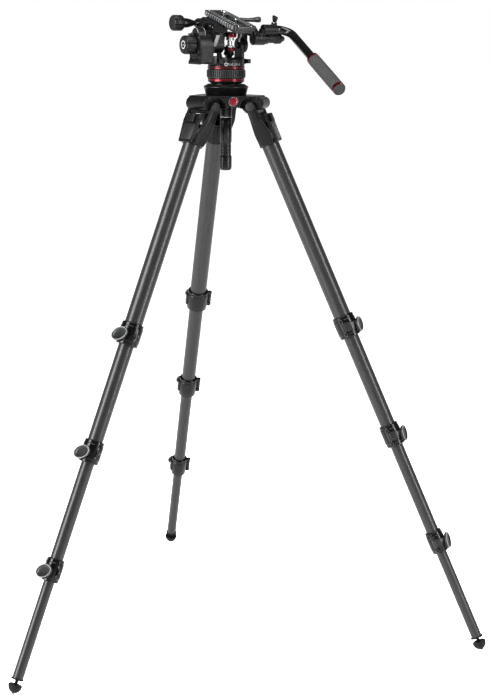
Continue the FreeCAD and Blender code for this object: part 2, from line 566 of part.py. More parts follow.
def pan_bar_screw():
    """Thumb screw that fixes the bar in its holder."""
    base = BAR_Z + 15.4
    stem = cylinder((SCREW_X, BAR_Y, BAR_Z + BAR_RADIUS + 0.3), (SCREW_X, BAR_Y, base + 1), 2.5)
    wing = block((SCREW_X - 3, BAR_Y - 8, base), (SCREW_X + 3, BAR_Y + 8, base + 13))
    return fused(stem, rounded(wing, 2.5, lambda c: abs(c.x - SCREW_X) > 2.5))


def bar_route():
    """Start, bend and end points of the pan bar in the object frame."""
    frame = FreeCAD.Rotation(FreeCAD.Vector(1, 0, 0), TILT_ANGLE)
    lift = FreeCAD.Vector(0, 0, TILT_HEIGHT)
    start = frame.multVec(FreeCAD.Vector(BAR_START_X, BAR_Y, BAR_Z)) + lift
    bend = frame.multVec(FreeCAD.Vector(BAR_BEND_X, BAR_Y, BAR_Z)) + lift
    return start, bend, FreeCAD.Vector(*BAR_END)


def pan_bar():
    """Tube with one bend, from the holder to the end of the grip."""
    start, bend, end = bar_route()
    first = (bend - start).normalize()
    second = (end - bend).normalize()
    turn = first.getAngle(second)
    back = BAR_BEND_RADIUS * math.tan(turn / 2)
    into = bend - first * back
    out = bend + second * back
    centre_way = (second - first).normalize()
    middle = bend + centre_way * (BAR_BEND_RADIUS / math.cos(turn / 2) - BAR_BEND_RADIUS)
    path = Part.Wire([Part.LineSegment(start, into).toShape(), Part.Arc(into, middle, out).toShape(),
                      Part.LineSegment(out, end - second * 3).toShape()])
    ring = Part.Wire([Part.Circle(start, first, BAR_RADIUS).toShape()])
    print("pan bar bend radius", BAR_BEND_RADIUS, "turn", round(math.degrees(turn), 1))
    return path.makePipeShell([ring], True, True)


def grip():
    """Foam grip with two end rings and a disc end."""
    _, bend, end = bar_route()
    long_run = end - bend
    start = bend + long_run * (1 - GRIP_SHARE)
    axis = (end - start).normalize()
    length = (end - start).Length
    body = Part.makeCylinder(GRIP_RADIUS, length, start, axis)
    bore = Part.makeCylinder(BAR_RADIUS, length - 3, start, axis)
    return body.cut(bore)


# ---------------------------------------------------------------- write every node
def build_legs():
    for side, azimuth in LEG_AZIMUTH.items():
        save("leg_" + side + "_yoke", on_leg(yoke(), azimuth))
        save("leg_" + side + "_selector", on_leg(selector(), azimuth))
        for index in range(4):
            save("leg_" + side + "_tube_" + str(index + 1), on_leg(tube(index), azimuth))
        for index in range(3):
            save("leg_" + side + "_clamp_" + str(index + 1), on_leg(clamp(index), azimuth))
            save("leg_" + side + "_lever_" + str(index + 1), on_leg(lever(index), azimuth))
        save("leg_" + side + "_foot", on_leg(foot(), azimuth))


def build_head():
    save("spider", spider())
    save("bowl", bowl())
    save("bowl_clamp_cup", bowl_clamp_cup())
    save("bowl_clamp_handle", bowl_clamp_handle())
    save("head_base", head_base())
    save("pan_drag_ring", pan_drag_ring())
    save("pan_body", pan_body())
    save("pan_lock_lever", pan_lock_lever())
    save("counterbalance_knob", counterbalance_knob())
    save("piston_cylinder", piston_cylinder())
    save("piston_rod", piston_rod())
    save("tilt_platform", on_platform(tilt_platform()))
    save("slide_plate", on_platform(slide_plate()))
    save("camera_screws", on_platform(camera_screw(SCREW_LARGE_Y, SCREW_LARGE_RADIUS, 9.0)),
         on_platform(camera_screw(SCREW_SMALL_Y, SCREW_SMALL_RADIUS, 5.5)))
    save("plate_lock_knob", on_platform(plate_lock_knob()))
    save("plate_release_lever", on_platform(plate_release_lever()))
    save("pan_bar_clamp", on_platform(pan_bar_clamp()))
    save("rosette_knob", on_platform(rosette_knob()))
    save("pan_bar_screw", on_platform(pan_bar_screw()))
    save("pan_bar", pan_bar())
    save("grip", grip())


build_legs()
build_head()
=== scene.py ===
"""Looks of the tripod with fluid head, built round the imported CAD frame."""
import json
import math

import bmesh
import bpy
from mathutils import Matrix, Vector


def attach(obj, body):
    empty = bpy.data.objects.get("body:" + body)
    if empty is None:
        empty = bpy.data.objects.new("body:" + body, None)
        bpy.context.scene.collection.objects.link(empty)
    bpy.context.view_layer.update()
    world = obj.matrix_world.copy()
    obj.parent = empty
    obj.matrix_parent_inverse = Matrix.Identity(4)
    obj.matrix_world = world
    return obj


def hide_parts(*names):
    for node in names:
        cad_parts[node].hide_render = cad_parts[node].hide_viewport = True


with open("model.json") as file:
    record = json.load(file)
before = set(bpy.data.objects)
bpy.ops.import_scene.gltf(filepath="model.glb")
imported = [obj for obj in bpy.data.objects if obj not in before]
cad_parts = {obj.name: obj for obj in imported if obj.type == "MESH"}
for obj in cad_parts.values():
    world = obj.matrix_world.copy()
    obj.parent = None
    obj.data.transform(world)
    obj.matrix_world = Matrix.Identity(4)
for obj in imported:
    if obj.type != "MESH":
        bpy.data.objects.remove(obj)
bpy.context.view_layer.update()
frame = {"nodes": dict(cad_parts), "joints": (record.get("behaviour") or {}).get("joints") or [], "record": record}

MM = 0.001
SIDES = ("front", "left", "right")
JOINTS = {joint["name"]: joint for joint in frame["joints"]}


# ================================================================ local frames, from the joints
def leg_frame(side):
    """Hinge at the origin, Z up the leg, X outward, Y tangential; millimetres."""
    up = -Vector(JOINTS[f"leg_{side}_slide_2"]["axis"]).normalized()
    along = -Vector(JOINTS[f"leg_{side}_spread"]["axis"]).normalized()
    out = along.cross(up)
    pivot = Vector(JOINTS[f"leg_{side}_spread"]["pos_m"])
    turn = Matrix((out, along, up)).transposed().to_4x4()
    return Matrix.Translation(pivot) @ turn @ Matrix.Scale(MM, 4)


def platform_frame():
    """Origin on the tilt axis, X along it, Y to the front of the plate, Z up from it."""
    front = Vector(JOINTS["plate_slide"]["axis"]).normalized()
    across = Vector((1, 0, 0))
    up = across.cross(front)
    turn = Matrix((across, front, up)).transposed().to_4x4()
    return Matrix.Translation(Vector(JOINTS["tilt"]["pos_m"])) @ turn @ Matrix.Scale(MM, 4)


OBJECT = Matrix.Scale(MM, 4)
PLATFORM = platform_frame()
LEGS = {side: leg_frame(side) for side in SIDES}


def extent(node, local):
    """Low and high corner of a CAD node in a local frame, in millimetres."""
    back = local.inverted()
    points = [back @ v.co for v in frame["nodes"][node].data.vertices]
    low = Vector([min(p[i] for p in points) for i in range(3)])
    high = Vector([max(p[i] for p in points) for i in range(3)])
    return low, high


# ================================================================ materials
def material(name):
    mat = bpy.data.materials.new(name)
    mat.use_nodes = True
    tree = mat.node_tree
    return mat, tree, tree.nodes["Principled BSDF"]


def noise(tree, scale, detail=4.0, source=None, stretch=None):
    """Noise over the piece's own coordinates, or over a given vector output."""
    tex = tree.nodes.new("ShaderNodeTexNoise")
    tex.inputs["Scale"].default_value = scale
    tex.inputs["Detail"].default_value = detail
    if source is None:
        source = tree.nodes.new("ShaderNodeTexCoord").outputs["Object"]
    if stretch:
        mapping = tree.nodes.new("ShaderNodeMapping")
        mapping.inputs["Scale"].default_value = stretch
        tree.links.new(source, mapping.inputs["Vector"])
        source = mapping.outputs["Vector"]
    tree.links.new(source, tex.inputs["Vector"])
    return tex.outputs["Fac"]


def ramp(tree, fac, stops):
    node = tree.nodes.new("ShaderNodeValToRGB")
    tree.links.new(fac, node.inputs["Fac"])
    while len(node.color_ramp.elements) < len(stops):
        node.color_ramp.elements.new(0.5)
    for element, (place, value) in zip(node.color_ramp.elements, stops):
        element.position = place
        colour = value if isinstance(value, tuple) else (value, value, value)
        element.color = (*colour, 1.0)
    return node.outputs["Color"]


def bump(tree, shader, height, strength, distance):
    node = tree.nodes.new("ShaderNodeBump")
    node.inputs["Strength"].default_value = strength
    node.inputs["Distance"].default_value = distance
    tree.links.new(height, node.inputs["Height"])
    tree.links.new(node.outputs["Normal"], shader.inputs["Normal"])


def tinted(value, tint):
    return tuple(value * part for part in tint)


def speckled(name, dark, light, rough, grain_scale, grain_depth, metallic=0.0, coat=0.0, gloss=0.16,
             tint=(0.98, 1.0, 1.03)):
    """Painted or moulded finish: fine grain bump, slow colour drift and uneven gloss."""
    mat, tree, shader = material(name)
    drift = ramp(tree, noise(tree, 60.0), [(0.3, tinted(dark, tint)), (0.7, tinted(light, tint))])
    tree.links.new(drift, shader.inputs["Base Color"])
    tree.links.new(ramp(tree, noise(tree, 220.0, 3.0), [(0.3, rough[0]), (0.75, rough[1])]),
                   shader.inputs["Roughness"])
    shader.inputs["Metallic"].default_value = metallic
    shader.inputs["Specular IOR Level"].default_value = gloss
    shader.inputs["Coat Weight"].default_value = coat
    shader.inputs["Coat Roughness"].default_value = 0.2
    bump(tree, shader, noise(tree, grain_scale, 2.0), 0.5, grain_depth)
    return mat


def turned(name, dark, light, rough, axis_stretch, coat=0.0):
    """Machined metal: fine lines round the piece and a soft gloss."""
    mat, tree, shader = material(name)
    lines = noise(tree, 900.0, 2.0, stretch=axis_stretch)
    tree.links.new(ramp(tree, lines, [(0.3, dark), (0.7, light)]), shader.inputs["Base Color"])
    tree.links.new(ramp(tree, noise(tree, 90.0), [(0.3, rough[0]), (0.7, rough[1])]),
                   shader.inputs["Roughness"])
    shader.inputs["Metallic"].default_value = 1.0
    shader.inputs["Coat Weight"].default_value = coat
    shader.inputs["Coat Roughness"].default_value = 0.18
    bump(tree, shader, lines, 0.2, 0.000012)
    return mat


def carbon():
    """Clear-coated carbon fibre: a fine twill with grain along the tube, from the tube's UVs."""
    mat, tree, shader = material("carbon_fibre")
    uv = tree.nodes.new("ShaderNodeUVMap")
    uv.uv_map = "tube"
    grain = noise(tree, 1.0, 5.0, uv.outputs["UV"], (30.0, 0.7, 1.0))
    weave = tree.nodes.new("ShaderNodeTexWave")
    weave.wave_type = "BANDS"
    weave.bands_direction = "DIAGONAL"
    weave.inputs["Scale"].default_value = 4.0
    weave.inputs["Distortion"].default_value = 0.6
    tree.links.new(uv.outputs["UV"], weave.inputs["Vector"])
    mix = tree.nodes.new("ShaderNodeMix")
    mix.data_type = "FLOAT"
    mix.inputs["Factor"].default_value = 0.22
    tree.links.new(grain, mix.inputs["A"])
    tree.links.new(weave.outputs["Fac"], mix.inputs["B"])
    both = mix.outputs["Result"]
    tree.links.new(ramp(tree, both, [(0.3, 0.005), (0.7, 0.02)]), shader.inputs["Base Color"])
    tree.links.new(ramp(tree, both, [(0.3, 0.3), (0.7, 0.44)]), shader.inputs["Roughness"])
    shader.inputs["Specular IOR Level"].default_value = 0.3
    shader.inputs["Coat Weight"].default_value = 0.12
    shader.inputs["Coat Roughness"].default_value = 0.2
    bump(tree, shader, both, 0.1, 0.00002)
    return mat


def foam():
    """Closed-cell foam: a skin of small cells."""
    mat, tree, shader = material("grip_foam")
    coord = tree.nodes.new("ShaderNodeTexCoord")
    cells = tree.nodes.new("ShaderNodeTexVoronoi")
    cells.inputs["Scale"].default_value = 900.0
    tree.links.new(coord.outputs["Object"], cells.inputs["Vector"])
    tree.links.new(ramp(tree, cells.outputs["Distance"], [(0.05, 0.005), (0.6, 0.034)]),
                   shader.inputs["Base Color"])
    tree.links.new(ramp(tree, noise(tree, 300.0), [(0.3, 0.75), (0.7, 0.95)]), shader.inputs["Roughness"])
    shader.inputs["Specular IOR Level"].default_value = 0.2
    bump(tree, shader, cells.outputs["Distance"], 0.4, 0.0001)
    return mat


MAT = {
    "cast": speckled("cast_paint", 0.003, 0.007, (0.26, 0.42), 1800.0, 0.000014),
    "cast_fine": speckled("cast_fine_paint", 0.005, 0.009, (0.24, 0.36), 2600.0, 0.00001, gloss=0.2),
    "bowl": speckled("bowl_anodised", 0.002, 0.004, (0.26, 0.36), 2600.0, 0.000008, gloss=0.28),
    "gloss": speckled("gloss_moulding", 0.002, 0.004, (0.14, 0.26), 1400.0, 0.000008, coat=0.1, gloss=0.2),
    "soft": speckled("soft_moulding", 0.004, 0.008, (0.34, 0.46), 2200.0, 0.000012),
    "lever": speckled("lever_moulding", 0.011, 0.019, (0.26, 0.38), 2200.0, 0.00001, gloss=0.25),
    # Painted highlight: a much lighter, glossier copy of the dark finishes, laid on thin rims, beads and ridges to
    # stand in for the light their edges catch.
    "painted_edge_highlight": speckled("painted_edge_highlight", 0.12, 0.2, (0.3, 0.4), 2200.0, 0.00001, 0.2, gloss=0.5),
    "rubber": speckled("rubber", 0.004, 0.008, (0.5, 0.7), 1500.0, 0.00002),
    "ribbed": speckled("ribbed_rubber", 0.012, 0.022, (0.4, 0.54), 1500.0, 0.000016, gloss=0.25),
    "plate": speckled("plate_anodised", 0.01, 0.018, (0.28, 0.4), 2600.0, 0.00001, 0.1, gloss=0.3),
    # Painted highlight: a lighter copy of the plate's anodised colour for the rack teeth, standing in for the
    # light on them.
    "plate_painted_highlight": speckled("plate_edge_painted_highlight", 0.09, 0.14, (0.28, 0.4), 2600.0, 0.00001, 0.2, gloss=0.5),
    "bar": speckled("bar_paint", 0.002, 0.003, (0.16, 0.24), 2600.0, 0.000008, gloss=0.3),
    "white": speckled("mark_paint", 0.2, 0.28, (0.4, 0.5), 1800.0, 0.000008),
    "red": turned("red_anodised", (0.06, 0.002, 0.005), (0.12, 0.004, 0.009), (0.28, 0.38), (1, 1, 12), 0.4),
    "badge": speckled("badge_enamel", 0.08, 0.12, (0.14, 0.22), 1200.0, 0.000008, coat=0.4,
                      tint=(1, 0.03, 0.09)),
    "steel": turned("steel", 0.3, 0.5, (0.18, 0.3), (1, 1, 10)),
    "dark_steel": turned("dark_steel", 0.06, 0.12, (0.28, 0.4), (1, 1, 10)),
    "carbon": carbon(),
    "foam": foam(),
}


# ================================================================ mesh building, in local millimetres
class Shape:
    """A list of vertices and faces that grows by simple solids."""

    def __init__(self):
        self.verts = []
        self.faces = []
        self.uvs = {}

    def add(self, verts, faces, place=None):
        start = len(self.verts)
        for v in verts:
            point = Vector(v)
            self.verts.append(place @ point if place else point)
        self.faces += [tuple(start + i for i in face) for face in faces]
        return start

    def lathe(self, profile, segments=48, place=None, ribs=None):
        """Turn (radius, height) points about Z; ribs(angle) scales the radius of chosen points."""
        rings = []
        verts = []
        for r, z in profile:
            if r < 1e-6:
                rings.append([len(verts)])
                verts.append((0, 0, z))
                continue
            ring = []
            for k in range(segments):
                a = 2 * math.pi * k / segments
                radius = ribs(r, z, a) if ribs else r
                ring.append(len(verts))
                verts.append((radius * math.cos(a), radius * math.sin(a), z))
            rings.append(ring)
        faces = []
        closed = profile[0][0] > 1e-6 and profile[-1][0] > 1e-6
        pairs = list(zip(rings, rings[1:]))
        if closed:
            pairs.append((rings[-1], rings[0]))
        for low, high in pairs:
            if len(low) == 1 and len(high) == 1:
                continue
            for k in range(segments):
                n = (k + 1) % segments
                if len(low) == 1:
                    faces.append((low[0], high[n], high[k]))
                elif len(high) == 1:
                    faces.append((low[k], low[n], high[0]))
                else:
                    faces.append((low[k], low[n], high[n], high[k]))
        self.add(verts, faces, place)
        return self

    def rod(self, start, end, radius, radius_end=None, segments=32, edge=0.0):
        """Cylinder or cone between two points, with an optional chamfer at both ends."""
        start = Vector(start)
        axis = Vector(end) - start
        top = radius if radius_end is None else radius_end
        length = axis.length
        if edge > 0:
            profile = [(0, 0), (radius - edge, 0), (radius, edge), (top, length - edge), (top - edge, length),
                       (0, length)]
        else:
            profile = [(0, 0), (radius, 0), (top, length), (0, length)]
        turn = Vector((0, 0, 1)).rotation_difference(axis.normalized()).to_matrix().to_4x4()
        return self.lathe(profile, segments, Matrix.Translation(start) @ turn)

    def block(self, low, high, place=None):
        x0, y0, z0 = low
        x1, y1, z1 = high
        verts = [(x0, y0, z0), (x1, y0, z0), (x1, y1, z0), (x0, y1, z0),
                 (x0, y0, z1), (x1, y0, z1), (x1, y1, z1), (x0, y1, z1)]
        faces = [(3, 2, 1, 0), (4, 5, 6, 7), (0, 1, 5, 4), (1, 2, 6, 5), (2, 3, 7, 6), (3, 0, 4, 7)]
        self.add(verts, faces, place)
        return self

    def prism(self, outline, push):
        """Closed outline of 3-D points pushed along a vector."""
        n = len(outline)
        verts = [Vector(p) for p in outline] + [Vector(p) + Vector(push) for p in outline]
        faces = [tuple(reversed(range(n))), tuple(range(n, 2 * n))]
        faces += [(k, (k + 1) % n, n + (k + 1) % n, n + k) for k in range(n)]
        self.add(verts, faces)
        return self

    def loft(self, sections):
        """Skin through rings of equal length, with end caps."""
        n = len(sections[0])
        verts = [Vector(p) for ring in sections for p in ring]
        faces = [tuple(reversed(range(n))), tuple(range(len(verts) - n, len(verts)))]
        for s in range(len(sections) - 1):
            a = s * n
            b = a + n
            faces += [(a + k, a + (k + 1) % n, b + (k + 1) % n, b + k) for k in range(n)]
        self.add(verts, faces)
        return self

    def sweep(self, points, radius, segments=24):
        """Round section carried along a line of points; radius may be a list."""
        points = [Vector(p) for p in points]
        radii = radius if isinstance(radius, list) else [radius] * len(points)
        side = None
        rings = []
        for k, point in enumerate(points):
            ahead = points[min(k + 1, len(points) - 1)] - points[max(k - 1, 0)]
            ahead.normalize()
            if side is None:
                side = ahead.orthogonal().normalized()
            side = (side - ahead * side.dot(ahead)).normalized()
            other = ahead.cross(side)
            rings.append([point + radii[k] * (math.cos(a) * side + math.sin(a) * other)
                          for a in (2 * math.pi * i / segments for i in range(segments))])
        return self.loft(rings)

    def mesh(self, name):
        data = bpy.data.meshes.new(name)
        data.from_pydata([tuple(v) for v in self.verts], [], self.faces)
        data.validate()
        made = bmesh.new()
        made.from_mesh(data)
        bmesh.ops.recalc_face_normals(made, faces=made.faces)
        made.to_mesh(data)
        made.free()
        return data


def rounded_ring(half_u, half_t, centre, u_axis, t_axis, power=2.6, count=28):
    """Superellipse outline round a centre point."""
    points = []
    for k in range(count):
        a = 2 * math.pi * k / count
        c = math.cos(a)
        s = math.sin(a)
        u = half_u * math.copysign(abs(c) ** (2 / power), c)
        t = half_t * math.copysign(abs(s) ** (2 / power), s)
        points.append(Vector(centre) + u * Vector(u_axis) + t * Vector(t_axis))
    return points


def apply_modifiers(obj):
    graph = bpy.context.evaluated_depsgraph_get()
    graph.update()
    data = bpy.data.meshes.new_from_object(obj.evaluated_get(graph))
    obj.modifiers.clear()
    obj.data = data


def to_object(shape, name):
    obj = bpy.data.objects.new(name, shape.mesh(name))
    bpy.context.scene.collection.objects.link(obj)
    return obj


def bevelled(obj, width, segments=2, angle=35.0):
    mod = obj.modifiers.new("edge", "BEVEL")
    mod.width = width
    mod.segments = segments
    mod.limit_method = "ANGLE"
    mod.angle_limit = math.radians(angle)
    apply_modifiers(obj)
    return obj


def cut(obj, *cutters):
    for cutter in cutters:
        tool = to_object(cutter, "tool")
        mod = obj.modifiers.new("cut", "BOOLEAN")
        mod.operation = "DIFFERENCE"
        mod.solver = "EXACT"
        mod.object = tool
        apply_modifiers(obj)
        bpy.data.objects.remove(tool)
    return obj


def cast_skin(obj, voxel, smooth, keep):
    """Merge overlapping solids into one skin with soft inner and outer corners, as a casting has."""
    mod = obj.modifiers.new("merge", "REMESH")
    mod.mode = "VOXEL"
    mod.voxel_size = voxel
    mod = obj.modifiers.new("soften", "SMOOTH")
    mod.iterations = smooth
    mod.factor = 0.5
    mod = obj.modifiers.new("thin", "DECIMATE")
    mod.ratio = keep
    apply_modifiers(obj)
    return obj


def piece(obj, local, finish, body, replaces=(), sharp=38.0):
    """Put a local-millimetre object in place and register it with the frame."""
    obj.data.transform(local)
    obj.data.materials.clear()
    obj.data.materials.append(MAT[finish])
    obj.data.shade_smooth()
    obj.data.set_sharp_from_angle(angle=math.radians(sharp))
    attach(obj, body)
    if replaces:
        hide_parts(*replaces)
    return obj


def tube_uv(obj, radius, scale=0.04):
    """UVs round and along a tube lying on local Z, both in the same length unit."""
    layer = obj.data.uv_layers.new(name="tube")
    for poly in obj.data.polygons:
        angles = []
        for index in poly.vertices:
            co = obj.data.vertices[index].co
            angles.append(math.atan2(co.y, co.x) % (2 * math.pi))
        wrap = max(angles) - min(angles) > math.pi
        for loop, index, angle in zip(poly.loop_indices, poly.vertices, angles):
            if wrap and angle < math.pi:
                angle += 2 * math.pi
            layer.data[loop].uv = (angle * radius * scale, obj.data.vertices[index].co.z * scale)


# ================================================================ legs
ARM_STATIONS = ((4, 10.0, 4.3, 33.25), (-8, 10.6, 4.6, 33.25), (-22, 11.2, 4.6, 33.2), (-34, 12.6, 4.9, 32.4),
                (-46, 14.8, 5.4, 28.6), (-58, 17.0, 5.8, 24.0), (-70, 17.6, 5.6, 20.6),
                (-84, 14.0, 4.4, 18.6))


def build_yoke(side):
    """Forked casting with two curved arms, a collar and a flat outer panel."""
    local = LEGS[side]
    low, high = extent(f"leg_{side}_yoke", local)
    tube_low, tube_high = extent(f"leg_{side}_tube_1", local)
    radius = (tube_high.y - tube_low.y) / 2
    bottom = low.z
    arm_out = high.y
    shape = Shape()
    shape.lathe([(radius - 1.0, bottom), (radius + 3.2, bottom), (radius + 3.9, bottom + 1),
                 (radius + 3.9, bottom + 30), (radius + 2.0, bottom + 42), (radius - 1.0, bottom + 42)], 64)
    for way in (-1, 1):
        rings = [rounded_ring(u, t, (0, way * centre, z), (1, 0, 0), (0, 1, 0), 3.2)
                 for z, u, t, centre in ARM_STATIONS]
        shape.loft(rings)
        shape.rod((0, way * (arm_out - 9.4), 0), (0, way * arm_out, 0), 10.9, segments=48, edge=0.8)
    shape.prism([(17.5, -24, -24.5), (17.5, 24, -24.5), (17.5, 25, -40), (17.5, 20, bottom),
                 (17.5, -20, bottom), (17.5, -25, -40)], (4.6, 0, 0))
    shape.prism([(-10, -22, -46), (-10, 22, -46), (-10, 16, -70), (-10, -16, -70)], (29, 0, 0))
    obj = cast_skin(to_object(shape, f"leg_{side}_yoke_casting"), 0.85, 5, 0.35)
    cut(obj, Shape().rod((0, 0, bottom - 5), (0, 0, -44), radius + 0.05, segments=96))
    piece(obj, local, "cast", f"leg_{side}", [f"leg_{side}_yoke"], 50)
    trim = Shape()
    for way in (-1, 1):
        trim.rod((0, way * (arm_out - 0.3), 0), (0, way * (arm_out + 0.9), 0), 8.6, segments=40, edge=0.5)
    trim.prism([(21.6, -17, -47), (21.6, 17, -47), (21.6, 14.5, bottom + 5), (21.6, -14.5, bottom + 5)],
               (1.3, 0, 0))
    for t in (-21.5, -18.6, 18.6, 21.5):
        lean = 0.82
        trim.prism([(21.9, t - 0.5, -40), (21.9, t + 0.5, -40), (21.9, t * lean + 0.5, bottom + 2),
                    (21.9, t * lean - 0.5, bottom + 2)], (1.0, 0, 0))
    covers = bevelled(to_object(trim, f"leg_{side}_yoke_covers"), 0.4)
    piece(covers, local, "lever", f"leg_{side}")
    bolts = Shape()
    for t in (-13, 13):
        bolts.rod((22.4, t, -52), (23.9, t, -52), 2.1, segments=6, edge=0.2)
    for t in (-20.5, 20.5):
        bolts.rod((21.6, t, -30), (22.9, t, -30), 1.5, segments=20, edge=0.3)
    piece(to_object(bolts, f"leg_{side}_yoke_bolts"), local, "dark_steel", f"leg_{side}")


def build_selector(side):
    local = LEGS[side]
    low, high = extent(f"leg_{side}_selector", local)
    shape = Shape()
    shape.block((high.x - 3.6, low.y, low.z + 2), high)
    shape.block((low.x, low.y + 3, high.z - 6), (high.x - 2, high.y - 3, high.z - 0.4))
    for k in range(4):
        z = low.z + 4 + 3.4 * k
        shape.block((high.x - 1, low.y + 2, z), (high.x + 0.7, high.y - 2, z + 1.4))
    obj = bevelled(to_object(shape, f"leg_{side}_selector_tab"), 0.5)
    piece(obj, local, "soft", f"leg_{side}_selector", [f"leg_{side}_selector"])
    pins = Shape()
    for t in (-6.2, 6.2):
        pins.rod((high.x - 3, t, high.z - 2.6), (high.x + 1.1, t, high.z - 2.6), 1.7, segments=20, edge=0.4)
    piece(to_object(pins, f"leg_{side}_selector_pins"), local, "dark_steel", f"leg_{side}_selector")


def section_body(side, number):
    return f"leg_{side}" if number == 1 else f"leg_{side}_section_{number}"


def build_tube(side, number):
    local = LEGS[side]
    node = f"leg_{side}_tube_{number}"
    low, high = extent(node, local)
    outer = (high.y - low.y) / 2
    inner = outer - 1.5
    steps = [low.z + 0.4 + (high.z - low.z - 0.8) * k / 24 for k in range(25)]
    profile = [(inner, low.z), (outer - 0.4, low.z)] + [(outer, z) for z in steps]
    profile += [(outer - 0.4, high.z), (inner, high.z)]
    obj = to_object(Shape().lathe(profile, 96), node + "_carbon")
    tube_uv(obj, outer)
    piece(obj, local, "carbon", section_body(side, number), [node], 30)


def clamp_numbers(side, number):
    local = LEGS[side]
    tube_low, tube_high = extent(f"leg_{side}_tube_{number}", local)
    next_low, next_high = extent(f"leg_{side}_tube_{number + 1}", local)
    low, high = extent(f"leg_{side}_clamp_{number}", local)
    radius = (tube_high.y - tube_low.y) / 2
    grip_radius = (next_high.y - next_low.y) / 2
    wall = high.x
    return radius, grip_radius, wall, low.z, high.z, tube_low.z


def build_clamp(side, number):
    """Moulded collar: stepped rings, a slit with two ears, a screw boss and the lever's pin."""
    local = LEGS[side]
    body = section_body(side, number)
    radius, grip_radius, wall, low, high, shoulder = clamp_numbers(side, number)
    shape = Shape()
    shape.lathe([(radius + 0.02, high), (wall - 2.4, high), (wall - 0.9, high - 1.2),
                 (wall - 0.9, high - 7.5), (wall, high - 8.4), (wall, low + 8.4), (wall - 0.9, low + 7.5),
                 (wall - 0.9, low + 1.2), (wall - 2.2, low), (grip_radius + 0.4, low),
                 (grip_radius + 0.4, shoulder), (radius + 0.02, shoulder)],
                96)
    collar = to_object(shape, f"leg_{side}_clamp_{number}_collar")
    slit = Shape().block((-0.9, -wall - 14, low - 2), (0.9, -radius + 1, high - 9))
    cut(collar, slit)
    bevelled(collar, 0.35)
    piece(collar, local, "gloss", body, [f"leg_{side}_clamp_{number}"])
    pin_t = -(wall + 4.4)
    ears = Shape()
    for top in (high - 5, low + 13):
        ears.rod((0, pin_t, top - 8), (0, pin_t, top), 4.6, segments=32, edge=0.7)
        ears.loft([rounded_ring(5.4, 3.8, (0, -radius - 1.5, top - 4), (1, 0, 0), (0, 0, 1), 4),
                   rounded_ring(4.4, 3.8, (0, pin_t, top - 4), (1, 0, 0), (0, 0, 1), 4)])
    ears.loft([rounded_ring(6.0, 15.0, (0, wall - 1.4, (low + high) / 2), (1, 0, 0), (0, 0, 1), 5),
               rounded_ring(4.6, 13.0, (0, wall + 3.3, (low + high) / 2), (1, 0, 0), (0, 0, 1), 5)])
    obj = bevelled(to_object(ears, f"leg_{side}_clamp_{number}_ears"), 0.5)
    piece(obj, local, "gloss", body)
    metal = Shape()
    metal.rod((0, pin_t, low + 3.6), (0, pin_t, high - 3.6), 1.9, segments=24, edge=0.4)
    middle = (low + high) / 2
    metal.rod((0, wall + 2.8, middle), (0, wall + 4.0, middle), 2.4, segments=24, edge=0.4)
    obj = to_object(metal, f"leg_{side}_clamp_{number}_pin")
    cut(obj, Shape().rod((0, wall + 3.4, middle), (0, wall + 6, middle), 1.5, segments=6))
    piece(obj, local, "dark_steel", body)


def paddle_ring(grow, x, z):
    """Oval outline of a lever's paddle, wider across the leg than along it, turned a little."""
    lean = math.radians(18)
    across = (0, math.cos(lean), math.sin(lean))
    along = (0, -math.sin(lean), math.cos(lean))
    return rounded_ring(23.5 + grow, 15.0 + grow, (x, 1, z), across, along, 2, 48)


def build_lever(side, number):
    """Lever that wraps the collar and ends in a dished oval paddle whose rim carries a painted highlight."""
    local = LEGS[side]
    node = f"leg_{side}_lever_{number}"
    _, _, wall, low, high, _ = clamp_numbers(side, number)
    pin_t = -(wall + 4.4)
    bottom = low + 14.2
    top = high - 14.2
    middle = (bottom + top) / 2
    half = (top - bottom) / 2
    paddle_z = high - 0.62 * (high - low)
    reach = wall + 2.1
    rings = [rounded_ring(1.9, half, (2.2, pin_t + 0.4, middle), (0.4, -0.9, 0), (0, 0, 1), 5)]
    for k in range(9):
        a = math.radians(-82 + 112 * k / 8)
        out = Vector((math.cos(a), math.sin(a), 0))
        blend = k / 8
        thick = 1.55
        tall = half * (1 - 0.12 * math.sin(math.pi * blend))
        centre = out * reach + Vector((0, 0, middle + (paddle_z - middle) * blend))
        rings.append(rounded_ring(thick, tall, centre, out, (0, 0, 1), 5))
    shape = Shape().loft(rings)
    shape.rod((0, pin_t, bottom), (0, pin_t, top), 4.3, segments=32, edge=0.6)
    face = wall + 6.4
    shape.loft([paddle_ring(-2.0, wall + 1.0, paddle_z), paddle_ring(0, wall + 3.8, paddle_z),
                paddle_ring(-0.8, face, paddle_z)])
    obj = cast_skin(to_object(shape, node + "_arm"), 0.55, 3, 0.3)
    cut(obj, Shape().rod((0, 0, low - 2), (0, 0, high + 2), wall + 0.4, segments=96))
    dish = Shape()
    dish.loft([paddle_ring(-grow, face - depth, paddle_z)
               for grow, depth in ((10.0, 2.2), (6.2, 1.7), (3.6, 0.6), (2.4, -0.6))])
    cut(obj, dish)
    piece(obj, local, "lever", f"leg_{side}_lever_{number}", [node], 40)
    # Painted highlight: a thin band in a lighter colour round the paddle's rim, standing in for the light the rim
    # catches.
    rim = Shape()
    outer = [paddle_ring(-2.0 + d, face + h, paddle_z)
             for d, h in ((-1.0, -0.6), (-1.0, 0.4), (1.0, 0.4), (1.0, -0.6))]
    verts = [p for ring in outer for p in ring]
    faces = [(r * 48 + k, r * 48 + (k + 1) % 48, ((r + 1) % 4) * 48 + (k + 1) % 48, ((r + 1) % 4) * 48 + k)
             for r in range(4) for k in range(48)]
    rim.add(verts, faces)
    piece(to_object(rim, node + "_rim"), local, "painted_edge_highlight", f"leg_{side}_lever_{number}")


